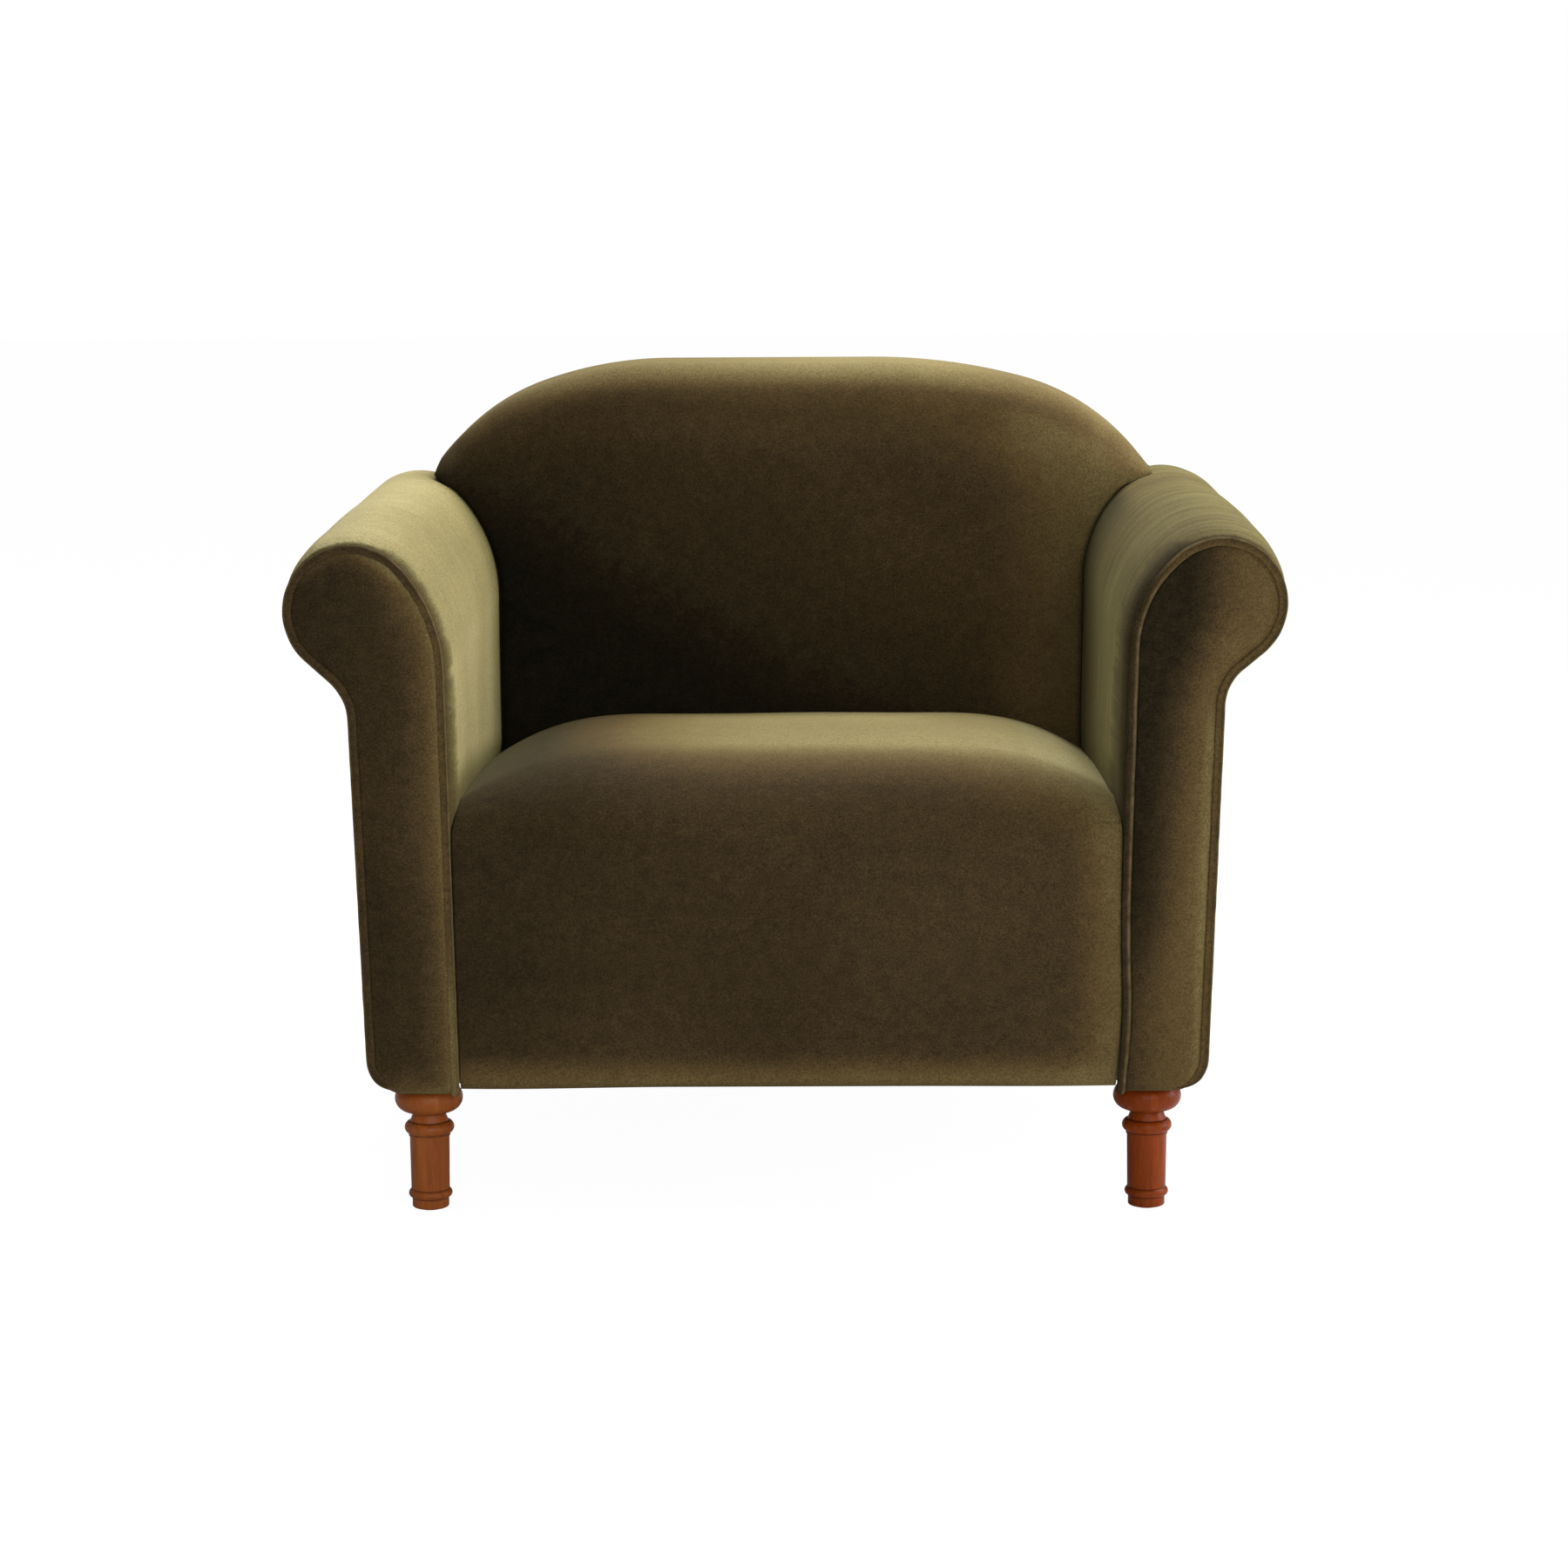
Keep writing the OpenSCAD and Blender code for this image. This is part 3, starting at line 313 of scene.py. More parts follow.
# ---- outline of an arm seen from the front: runs of (length, place at a share of the run)
def armRuns(look):
    foot = Vector((chair["footX"], chair["legHeight"]))
    roll, r = Vector(look["roll"]), look["radius"]
    big, neck, corner, lean, under = (look[k] for k in ("long", "neck", "corner", "lean", "under"))
    hub = roll - (big - r) * turned(look["turn"])
    reach = hub - foot
    rise = math.degrees(math.atan2(reach.y, reach.x) + math.asin(big / reach.length))
    outer = Vector((look["outerX"], foot.y))
    across, n, down = turned(-lean), turned(-under), turned(-under - 90)
    past = (neck - (roll + (r + neck) * n - outer).dot(across)) / down.dot(across)
    rollFoot = roll + r * n
    neckHub = rollFoot + down * past + neck * n
    cornerHub = Vector((outer.x + corner * (math.sin(math.radians(lean)) - 1) / math.cos(math.radians(lean)),
                        foot.y + corner))

    def line(a, b, angle):
        return (b - a).length, lambda f: (a + (b - a) * f, turned(angle))

    def arc(c, radius, a0, a1, side=1):
        def at(f):
            n = turned(mixed(a0, a1, f))
            return c + n * radius, n * side
        return abs(math.radians(a1 - a0)) * radius, at

    return [line(foot, hub + big * turned(rise + 90), rise + 90), arc(hub, big, rise + 90, look["turn"]),
            arc(roll, r, look["turn"], -under), line(rollFoot, rollFoot + down * past, -under),
            arc(neckHub, neck, 180 - under, 180 - lean, -1),
            line(neckHub - neck * across, cornerHub + corner * across, -lean), arc(cornerHub, corner, -lean, -90)]


arms = {}
for side, look in armLook.items():
    runs, starts = armRuns(look), [0.0]
    for length, _ in runs:
        starts.append(starts[-1] + length)
    arms[side] = {"runs": runs, "starts": starts, "rollStart": starts[2], "neckEnd": starts[5], "end": starts[7]}


# the inner seam bows out a little above the foot
def bowAt(side, z):
    return armLook[side]["bow"] * math.exp(-((z - 0.205) / 0.068) ** 2)


# the padding starts to swell at the top of the side rail
def aboveRail(z):
    return clamped((z - chair["railTop"]) / chair["swellRise"])


# point, outward normal and share of the swell at a distance s along the outline
def outlineAt(side, s):
    runs, starts, look = arms[side]["runs"], arms[side]["starts"], armLook[side]
    if s < 0:
        p, n = runs[0][1](0)
        return p + Vector((bowAt(side, p.y), s)), n, 0.0
    for i, (length, at) in enumerate(runs):
        if s <= starts[i + 1] or i == len(runs) - 1:
            f = clamped((s - starts[i]) / length)
            p, n = at(f)
            share = 0.0
            if i == 0:
                share = aboveRail(p.y)
                p = p + Vector((bowAt(side, p.y), 0))
            elif i == 1:
                share = 1.0
            elif i == 2:
                angle = mixed(look["turn"], -look["under"], f)
                share = clamped((angle + 5) / 65) + look["full"] * smooth(1 - abs(angle - 42) / 62)
            return p, n, share


def innerX(side, z):
    (p0, _), (p1, _) = (arms[side]["runs"][0][1](f) for f in (0, 1))
    return mixed(p0.x, p1.x, (z - p0.y) / (p1.y - p0.y)) + bowAt(side, z)


def swellAt(side, y, z):
    back, flare = y - chair["frontY"] - chair["facingDepth"], armLook[side]["flare"]
    rise = flare * ease(back / 0.032) + (1 - flare) * ease(back / 0.120)
    return rise * ease((rearY(z) - rearInset - y) / 0.045)


# the padding swells less over the roll toward the rear
def rollTaper(side, p, n, y):
    on = smooth((p.x - 0.37) / 0.05) * smooth((y + 0.15) / 0.45)
    if side == "right":
        on *= smooth((math.degrees(math.atan2(n.y, n.x)) - 10) / 60)
    return 1 - armLook[side]["taper"] * on


def armInner(side, y, z):
    return innerX(side, z) - chair["swell"] * swellAt(side, y, z) * aboveRail(z)


# ---- making pieces
def gridSheet(across, along, place):
    bm = bmesh.new()
    bmesh.ops.create_grid(bm, x_segments=across, y_segments=along, size=0.5)
    for v in bm.verts:
        v.co = place(v.co.x + 0.5, v.co.y + 0.5)
    return bm


def faceAwayFrom(bm, inside):
    bm.normal_update()
    tally = sum((f.normal.dot(f.calc_center_median() - inside) > 0) - 0.5 for f in bm.faces)
    if tally < 0:
        bmesh.ops.reverse_faces(bm, faces=bm.faces[:])


# the lay, from 0 dark to 1 light, kept on the mesh for the velvet: the pile's own tone with painted light and shade
def paintLay(bm, paintedLayAt):
    bm.normal_update()
    layer = bm.verts.layers.float.new("lay")
    for v in bm.verts:
        v[layer] = clamped(paintedLayAt(v))


# a value that changes evenly between a few (place, value) stops
def between(stops, at):
    for (a, u), (b, v) in zip(stops, stops[1:]):
        if at <= b:
            return mixed(u, v, clamped((at - a) / (b - a)))
    return stops[-1][1]


def drift(p, scale, seed):
    return noise.noise(Vector((p.x * scale + seed, p.y * scale, p.z * scale - seed)))


def finishPiece(name, bm, material, stands, wall=0.0, levels=0, left=False):
    if left:
        bmesh.ops.scale(bm, vec=(-1, 1, 1), verts=bm.verts[:])
        bmesh.ops.reverse_faces(bm, faces=bm.faces[:])
    for f in bm.faces:
        f.smooth = True
    mesh = bpy.data.meshes.new(name)
    bm.to_mesh(mesh)
    bm.free()
    obj = bpy.data.objects.new(name, mesh)
    scene.collection.objects.link(obj)
    mesh.materials.append(material)
    if wall:
        shell = obj.modifiers.new("wall", "SOLIDIFY")
        shell.thickness = wall
        shell.offset = -1
    if levels:
        fine = obj.modifiers.new("fine", "SUBSURF")
        fine.levels = fine.render_levels = levels
    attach(obj, "root")
    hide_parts(*stands)
    return obj


def clothArea(bm):
    return sum(f.calc_area() for f in bm.faces)


# ---- arm wraps: the velvet over the inner side and the roll
armWrap = {"low": 0.300, "across": 170, "along": 160, "crowd": 1.6, "fill": 0.9,
           "gather": 0.0011, "gatherRun": 0.012, "gatherStep": 0.0065, "wave": 0.0011, "tuckIn": (0.0010, 0.003),
           # streaks of the pile across the arm, and the painted shadow low beside the seat
           "streak": {"left": 0.024, "right": 0.095}, "seat": {"left": 0.46, "right": 0.70},
           # painted shade toward the back, by the distance in front of it, on the inner side and on top
           "rear": {"left": (((0, 0.95), (0.16, 1)), ((0, 0.95), (0.16, 1))),
                    "right": (((0, 0.21), (0.05, 0.29), (0.10, 0.41), (0.17, 0.64), (0.25, 0.84), (0.36, 0.97),
                               (0.46, 1)), ((0, 0.95), (0.05, 0.88), (0.10, 0.96), (0.18, 1)))},
           # how far the painted shade beside the seam reaches back on top, on the inner side and low down, and its
           # lay
           "fringe": {"left": (0.008, 0.021, 0.040, 0.27), "right": (0.010, 0.075, 0.115, 0.165)},
           # how light the pile is painted round the roll, by the angle of the surface from the outer side: a
           # painted highlight over the top on the pile's own tone
           "lay": {"left": ((-45, 0.34), (0, 0.50), (50, 0.92), (60, 1.0), (80, 0.90), (110, 0.76), (150, 0.59),
                            (170, 0.68), (180, 0.78)),
                   "right": ((-45, 0.28), (0, 0.34), (50, 0.42), (60, 0.43), (110, 0.40), (150, 0.38), (170, 0.53),
                             (180, 0.56))}}


def makeArmWrap(side):
    left = side == "left"
    lowS, endS = armWrap["low"] - chair["legHeight"], arms[side]["neckEnd"]
    startY = chair["frontY"] + chair["facingDepth"] - 0.001
    seed = 3.7 if left else 11.3

    def place(u, v):
        s = mixed(lowS, endS, u)
        p, n, share = outlineAt(side, s)
        y = mixed(startY, rearY(p.y) - rearInset, v ** armWrap["crowd"])
        back = y - startY
        out = chair["swell"] * share * swellAt(side, y, p.y) * rollTaper(side, p, n, y)
        close = math.exp(-back / armWrap["gatherRun"])
        ripple = noise.noise(Vector((s / armWrap["gatherStep"], 0.3, seed)))
        out += armWrap["gather"] * close * clamped(share) * ripple * smooth(back / 0.004)
        out += armWrap["wave"] * noise.noise(Vector((s * 9, y * 6, seed))) * clamped(share) * smooth(back / 0.05)
        deep, run = armWrap["tuckIn"]
        q = p + n * (out - deep * math.exp(-back / run))
        return Vector((q.x, y, q.y))

    bm = gridSheet(armWrap["across"], armWrap["along"], place)
    faceAwayFrom(bm, Vector((0.40, 0.0, 0.56)))

    # painted shade, dark and feathered beside the seam; streaks brushed across the arm; painted shade by the back
    # and a painted shadow low beside the seat
    def paintedLayAt(v):
        p, n = v.co, v.normal
        back = p.y - startY
        around = math.degrees(math.atan2(n.z, n.x))
        around = around if around > -90 else 180
        inner = smooth((0.40 - p.x) / 0.03) * smooth((p.z - 0.36) / 0.05)
        beside = Vector((0, p.x, p.z))
        feather = 1 + 0.35 * drift(beside, 230, seed) + 0.35 * drift(beside, 60, seed)
        onTop, onSide, lowDown, dark = armWrap["fringe"][side]
        wide = mixed(onTop, mixed(lowDown, onSide, smooth((p.z - 0.52) / 0.08)), inner) * feather
        across = Vector((p.x * 9, p.z * 9, p.y * 75 + seed))
        streak = armWrap["streak"][side] * (noise.noise(across) + 0.7 * noise.noise(across * 2.3))
        streak += 0.05 * drift(p, 8, seed)
        streak *= smooth(back / 0.03) * mixed(0.3, 1, smooth((around - 30) / 40))
        full = between(armWrap["lay"][side], around) + streak
        toBack = backFace(p.x, p.z) - p.y
        onInner, over = (between(stops, toBack) for stops in armWrap["rear"][side])
        full *= mixed(over, onInner, smooth((around - 118) / 25))
        aboveSeat = p.z - 0.417 + 0.105 * max(0.0, p.y + 0.27)
        full *= mixed(armWrap["seat"][side], 1, smooth((aboveSeat - 0.004) / 0.040))
        return mixed(dark, full, clamped((back - 0.001) / wide) ** 1.3)

    paintLay(bm, paintedLayAt)
    obj = finishPiece("arm_wrap_" + side, bm, wrapCloth, ["arm_cover_" + side, "arm_foam_" + side],
                      wall=0.002, left=left)


# ---- facings: padded panels on the fronts of the arms
# the crease beside the band is deep all round on the right, and only on the outer side on the left
facing = {"cell": 0.0030, "crown": 0.0060, "rise": 0.032, "wobble": 0.0007, "under": 0.004, "fill": 0.8,
          "crease": {"left": (-0.0003, 0.0012), "right": (0.0026, 0.0022)},
          # where the painted light on the right one begins, by height
          "turn": ((0.20, 0.356), (0.30, 0.374), (0.37, 0.379), (0.51, 0.387), (0.58, 0.411), (0.62, 0.424))}


def closedOutline(side, inset, low):
    total = arms[side]["end"]
    count = int(total / 0.002)
    line = []
    for i in range(count + 1):
        s = total * i / count
        p, n, _ = outlineAt(side, s)
        line.append(p - n * inset * smooth((total - s) / 0.05))     # the band tucks away under the foot
    line = [Vector((p.x, max(p.y, low))) for p in line]
    line[-1].y = low
    first, last = line[0], line[-1]
    return line + [last.lerp(first, i / 24) for i in range(1, 24)]


def insideOf(line, x, z):
    inside = False
    j = len(line) - 1
    for i in range(len(line)):
        a, b = line[i], line[j]
        if (a.y > z) != (b.y > z) and x < (b.x - a.x) * (z - a.y) / (b.y - a.y) + a.x:
            inside = not inside
        j = i
    return inside


# a flat grid in the x-z plane cut to an outline, with its distance in from the outline for each vertex
def panelGrid(line, cell):
    lo = Vector((min(p.x for p in line), min(p.y for p in line)))
    hi = Vector((max(p.x for p in line), max(p.y for p in line)))
    nx, nz = int((hi.x - lo.x) / cell) + 2, int((hi.y - lo.y) / cell) + 2
    bm = gridSheet(nx, nz, lambda u, v: Vector((mixed(lo.x - cell, hi.x + cell, u), 0,
                                                mixed(lo.y - cell, hi.y + cell, v))))
    rough = line[::4]
    outside = [f for f in bm.faces if not insideOf(rough, f.calc_center_median().x, f.calc_center_median().z)]
    bmesh.ops.delete(bm, geom=outside, context="FACES")
    edge = kdtree.KDTree(len(line))
    for i, p in enumerate(line):
        edge.insert(Vector((p.x, 0, p.y)), i)
    edge.balance()
    for v in bm.verts:
        if v.is_boundary:
            v.co = edge.find(v.co)[0]
    inner = [v for v in bm.verts if not v.is_boundary]
    for _ in range(5):
        bmesh.ops.smooth_vert(bm, verts=inner, factor=0.5, use_axis_x=True, use_axis_z=True)
    return bm, lambda v: edge.find(Vector((v.co.x, 0, v.co.z)))[2]


def makeFacing(side):
    left = side == "left"
    bm, inFrom = panelGrid(closedOutline(side, chair["bandWidth"] - 0.0012, chair["legHeight"]), facing["cell"])
    seed = 1.3 if left else 8.2
    for v in bm.verts:
        d = inFrom(v)
        swell = facing["crown"] * ease(d / facing["rise"])
        wobble = facing["wobble"] * noise.noise(Vector((v.co.x * 22, v.co.z * 14, seed))) * smooth(d / 0.02)
        under = facing["under"] * (1 - ease((v.co.z - chair["legHeight"]) / 0.012))
        crease = mixed(*facing["crease"][side], smooth((v.co.x - 0.38) / 0.04))
        v.co.y = chair["frontY"] + crease - swell - wobble + under
    faceAwayFrom(bm, Vector((0.40, 0.0, 0.45)))

    def paintedLayAt(v):
        p, d = v.co, inFrom(v)
        wave = 0.03 * drift(p, 9, seed)
        # painted light beside the inner seam and along the top rim, where the panel turns toward the light; lighter
        # by the foot
        if left:                                    # light beside the inner seam and the foot, dark elsewhere
            inner = smooth((0.445 - p.x) / 0.07)
            low = mixed(0.15, 0.08, smooth((p.x - 0.345) / 0.03)) * math.exp((0.129 - p.z) / 0.014)
            low -= 0.050 * smooth((p.x - 0.375) / 0.03) * smooth((0.56 - p.z) / 0.05)
            rim = 0.18 * math.exp(-d / 0.007) * smooth((p.z - 0.635) / 0.02)
            soft = mixed(0.16, 0.21, smooth((p.z - 0.28) / 0.15)) * math.exp(-d / 0.027)
            return 0.155 + low + rim + wave + inner * (0.09 * math.exp(-d / 0.006) + soft)
        # painted light over the right part of the panel and beside its outer edge, and painted shade in the seam
        at = between(facing["turn"], p.z)
        dark = mixed(0.20, 0.125, smooth((p.z - 0.20) / 0.13))
        light = mixed(0.335, 0.37, smooth((p.z - 0.16) / 0.12))
        seam = 0.05 * math.exp(-d / 0.0014)
        outer = 0.14 * math.exp(-((d - 0.003) / 0.007) ** 2) * smooth((0.54 - p.z) / 0.06)
        outer *= smooth((p.x - 0.39) / 0.02)
        return mixed(dark, light, smooth((p.x - at) / 0.062 + 0.5)) + outer + wave - seam

    paintLay(bm, paintedLayAt)
    obj = finishPiece("facing_" + side, bm, velvetCloth, ["arm_facing_" + side],
                      wall=0.003, left=left)


# ---- bands: the flat strip round each facing, with a fine ridge where it meets the wrap
band = {"along": 400, "wobble": 0.0003, "tip": 0.003,
        # lay of the pile at its outer and inner edge, with painted shade toward the outer one, and how strongly the
        # painted highlight shows on the ridge
        "lay": {"left": (0.20, 0.24), "right": (0.13, 0.25)}, "glint": {"left": 0.45, "right": 0.75},
        # distance in from the outline, depth behind the front plane, painted highlight on the outer and on the
        # inner ridge
        "section": [(0.0030, 0.0065, 0, 0), (-0.0002, 0.0062, 0, 0), (-0.0006, 0.0032, 0, 0),
                    (-0.0008, 0.0012, 0.2, 0), (-0.0006, -0.0004, 0.8, 0), (0.0001, -0.0011, 1.0, 0),
                    (0.0009, -0.0008, 0.5, 0), (0.0015, 0.0001, 0, 0), (0.0028, -0.0002, 0, 0),
                    (0.0046, -0.0005, 0, 0.1), (0.0062, -0.0006, 0, 0.7), (0.0074, -0.0002, 0, 0.5),
                    (0.0084, 0.0012, 0, 0), (0.0085, 0.0034, 0, 0), (0.0076, 0.0060, 0, 0)]}


def makeBand(side):
    left = side == "left"
    section = band["section"]
    count = len(section)
    startS, endS = -band["tip"], arms[side]["end"] - 0.004
    innerEnd = arms[side]["starts"][1] + 0.06
    seed = 5.1 if left else 0.7
    middle = chair["bandWidth"] / 2
    bm = bmesh.new()
    bmesh.ops.create_grid(bm, x_segments=count, y_segments=band["along"], size=0.5)
    glint, lay = bm.verts.layers.float.new("ridgeSheen"), bm.verts.layers.float.new("lay")
    for v in bm.verts:
        s = mixed(startS, endS, v.co.y + 0.5)
        d, y, outer, inner = section[int(round((v.co.x + 0.5) * count)) % count]
        p, n, _ = outlineAt(side, s)
        fromTip, toEnd = s - startS, endS - s
        narrow = math.sqrt(clamped(1 - (1 - clamped(fromTip / 0.0045)) ** 2)) * 0.92 + 0.08
        narrow *= mixed(0.45, 1.0, smooth(toEnd / 0.03))
        light = mixed(*band["lay"][side], clamped(d / 0.008))
        d = middle + (d - middle) * narrow
        wob = band["wobble"] * noise.noise(Vector((s * 55, d * 60, seed)))
        q = p - n * (d + wob)
        depth = y + band["wobble"] * noise.noise(Vector((s * 38, 2.2, seed))) + 0.003 * (1 - smooth(toEnd / 0.03))
        onInner = 1 - smooth((s - innerEnd) / 0.05)
        # near its free end the left band shows as a lighter folded strip
        folded = 1 - smooth((p.y - 0.20) / 0.09) if s < innerEnd else 0.0
        # where the painted highlight lies along the ridge
        ridgeSheen = outer * (1 - folded) if left else mixed(outer, inner, onInner)
        v[glint] = ridgeSheen * band["glint"][side] * clamped(0.7 + 0.7 * noise.noise(Vector((s * 160, 0.4, seed))))
        light += (0.08 * onInner + 0.16 * folded) if left else 0.10 * (1 - onInner)
        v[lay] = light + 0.03 * noise.noise(Vector((s * 30, d * 100, seed)))
        v.co = (q.x, chair["frontY"] + depth, q.y)
    bmesh.ops.remove_doubles(bm, verts=bm.verts[:], dist=0.00002)
    bmesh.ops.holes_fill(bm, edges=[e for e in bm.edges if e.is_boundary], sides=0)
    bmesh.ops.recalc_face_normals(bm, faces=bm.faces[:])
    finishPiece("band_" + side, bm, bandCloth, ["arm_band_" + side], levels=1, left=left)


# ---- back: a domed pad with a deep rounded edge, tight against the arms
back = {"around": 260, "low": 0.3453, "armInset": 0.008, "armDepth": 0.007, "sideDepth": 0.030, "taperY": 0.26,
        "fill": 0.85,
        # steps of the rounded edge, and the sizes of the rings from there to the middle
        "round": 16, "rings": (0.97, 0.93, 0.88, 0.82, 0.76, 0.69, 0.61, 0.53, 0.45, 0.37, 0.29, 0.21, 0.13, 0.06),
        # how light the pile is painted along a slanting line, low left to high right: painted shade darkest low on
        # the left
        "slant": ((0.36, 0.015), (0.42, 0.025), (0.475, 0.08), (0.52, 0.135), (0.59, 0.165), (0.68, 0.192),
                  (0.78, 0.20)),
        # how much painted highlight lies over the rounded top edge, from left to right
        "edge": ((-0.30, 0.20), (-0.10, 0.22), (0.05, 0.29), (0.16, 0.28), (0.25, 0.16), (0.33, 0.14))}
seatBackZ = chair["seatHeight"] - 0.030
backFaceY = rearY(seatBackZ) - chair["backThickness"]
backHalf = 0.409


def backFace(x, z):
    return backFaceY + (z - seatBackZ) * rakeTan - chair["backCrown"] * (1 - (x / backHalf) ** 2)


def rounding(e, inset, depth):
    return depth * (1 - math.sqrt(max(0.0, 1 - (1 - clamped(e / inset)) ** 2)))


def shoulder(side):
    look = backLook[side]
    hub = Vector((look["flat"], chair["height"] - look["radius"]))
    end = 90 - look["turn"]
    return hub, end, hub + (look["radius"] - look["tight"]) * turned(end)


# where the curve of the back meets the roll of an arm, whose padding stands off by a little less at the rear
def meetRoll(side, off):
    off *= 1 - 0.9 * armLook[side]["taper"]
    roll, r = Vector(armLook[side]["roll"]), armLook[side]["radius"] + off
    tightHub, tight = shoulder(side)[2], backLook[side]["tight"]
    to = tightHub - roll
    a = (r * r - tight ** 2 + to.length ** 2) / (2 * to.length)
    along = to.normalized()
    return roll + along * a + Vector((along.y, -along.x)) * math.sqrt(r * r - a * a)


def camelLine(side, meet):
    look = backLook[side]
    hub, end, tightHub = shoulder(side)
    a0 = math.degrees(math.atan2(meet.y - tightHub.y, meet.x - tightHub.x))
    steep = [tightHub + look["tight"] * turned(mixed(a0, end, i / 24)) for i in range(24)]
    return ([p - Vector((look["upright"] * smooth((meet.y + 0.022 - p.y) / 0.022), 0)) for p in steep]
            + [hub + look["radius"] * turned(mixed(end, 90, i / 30)) for i in range(30)]
            + [Vector((look["flat"], chair["height"])), Vector((0, chair["height"]))])


def evenLine(full, count):
    lengths = [0.0]
    for i in range(len(full)):
        lengths.append(lengths[-1] + (full[(i + 1) % len(full)] - full[i]).length)
    even, k = [], 0
    for i in range(count):
        want = lengths[-1] * i / count
        while lengths[k + 1] < want:
            k += 1
        f = (want - lengths[k]) / max(1e-9, lengths[k + 1] - lengths[k])
        even.append(full[k].lerp(full[(k + 1) % len(full)], f))
    return even


def bothHalves(halfOf):
    return halfOf("right") + [Vector((-p.x, p.y)) for p in halfOf("left")[-2:0:-1]]


def backHalfLine(side):
    off = chair["swell"] + softGap
    meet = meetRoll(side, off)
    nearRoll = 0.004 + 1.3 * backLook[side]["upright"]
    line = [Vector((x, back["low"])) for x in (0, 0.08, 0.16, 0.24, 0.30)]
    s = back["low"] - chair["legHeight"]
    while True:
        p, n, _ = outlineAt(side, s)
        if p.y >= back["low"]:
            q = p + n * off * aboveRail(p.y) * rollTaper(side, p, n, back["taperY"])
            if q.x > meet.x or s > arms[side]["rollStart"] and (q - meet).length < nearRoll:
                break
            line.append(q)
        s += 0.004
    return line + camelLine(side, meet)


def makeBack():
    outline = evenLine(bothHalves(backHalfLine), back["around"])
    meetZ = meetRoll("right", chair["swell"]).y
    hub = Vector((0, mixed(back["low"], chair["height"], 0.45)))
    onTop = [smooth((p.y - meetZ + 0.022) / 0.06) for p in outline]
    insets = [mixed(back["armInset"], chair["backEdge"], f) for f in onTop]
    depths = [mixed(back["armDepth"], chair["backEdge"], f) for f in onTop]
    bm = bmesh.new()
    bmesh.ops.create_circle(bm, cap_ends=False, segments=len(outline), radius=1.0)
    bm.verts.ensure_lookup_table()
    ring = bm.verts[:]

    def lay(verts, share, t, rear=None):
        for v, p, inset, depth in zip(verts, outline, insets, depths):
            to = p - hub
            q = hub + to * (1 - inset * share / to.length) * t
            y = backFace(q.x, q.y) + rounding(inset * share, inset, depth) if rear is None else rearY(q.y) - rear
            y += 0.0012 * noise.noise(Vector((q.x * 6, q.y * 6, 4.4))) * smooth((1 - t) / 0.2)
            v.co = (q.x, y, q.y)

    def nextRing(old):
        edges = {e for v in old for e in v.link_edges if all(w in old for w in e.verts)}
        made = bmesh.ops.extrude_edge_only(bm, edges=list(edges))
        fresh = [g for g in made["geom"] if isinstance(g, bmesh.types.BMVert)]
        order = {v: i for i, v in enumerate(old)}
        linked = {}
        for v in fresh:
            for e in v.link_edges:
                other = e.other_vert(v)
                if other in order:
                    linked[order[other]] = v
        return [linked[i] for i in range(len(old))]

    lay(ring, 0, 1, rearInset)
    ring = nextRing(ring)
    lay(ring, 0, 1, back["sideDepth"])
    for step in range(back["round"] + 1):
        ring = nextRing(ring)
        lay(ring, 1 - math.cos(math.radians(90 * step / back["round"])), 1)
    for t in back["rings"]:
        ring = nextRing(ring)
        lay(ring, 1, t)
    bmesh.ops.contextual_create(bm, geom=ring)
    faceAwayFrom(bm, Vector((0, 0.30, 0.60)))

    # painted shade low on the left, painted light on the right, and painted highlights over the top edge and in a
    # few patches
    def paintedLayAt(v):
        p, up = v.co, v.normal.z
        base = between(back["slant"], p.z + 0.55 * p.x)
        flat = 1 - 0.95 * smooth((up - 0.20) / 0.50)
        high = 0.04 * smooth((p.z - 0.69) / 0.06)
        high += 0.11 * smooth((p.z - 0.66) / 0.07) * math.exp(-((p.x - 0.255) / 0.075) ** 2) * flat
        high += 0.10 * smooth((p.z - 0.70) / 0.05) * smooth((-0.33 - p.x) / 0.03)
        high += 0.06 * math.exp(-((p.x - 0.15) / 0.06) ** 2 - ((p.z - 0.766) / 0.02) ** 2)
        high += 0.06 * smooth((0.52 - p.z) / 0.06) * math.exp(-((p.x - 0.26) / 0.04) ** 2)
        right = 0.19 * smooth((p.x - 0.205) / 0.12) * flat + 0.07 * smooth((p.x - 0.315) / 0.035)
        edge = between(back["edge"], p.x) * smooth((up - 0.52) / 0.42) + 0.04 * smooth(up / 0.4)
        return base + high + right + edge + 0.025 * drift(p, 6, 2.2)

    paintLay(bm, paintedLayAt)
    obj = finishPiece("back", bm, velvetCloth, ["back_cover", "back_foam", "back_edge_padding"],
                      wall=0.002)


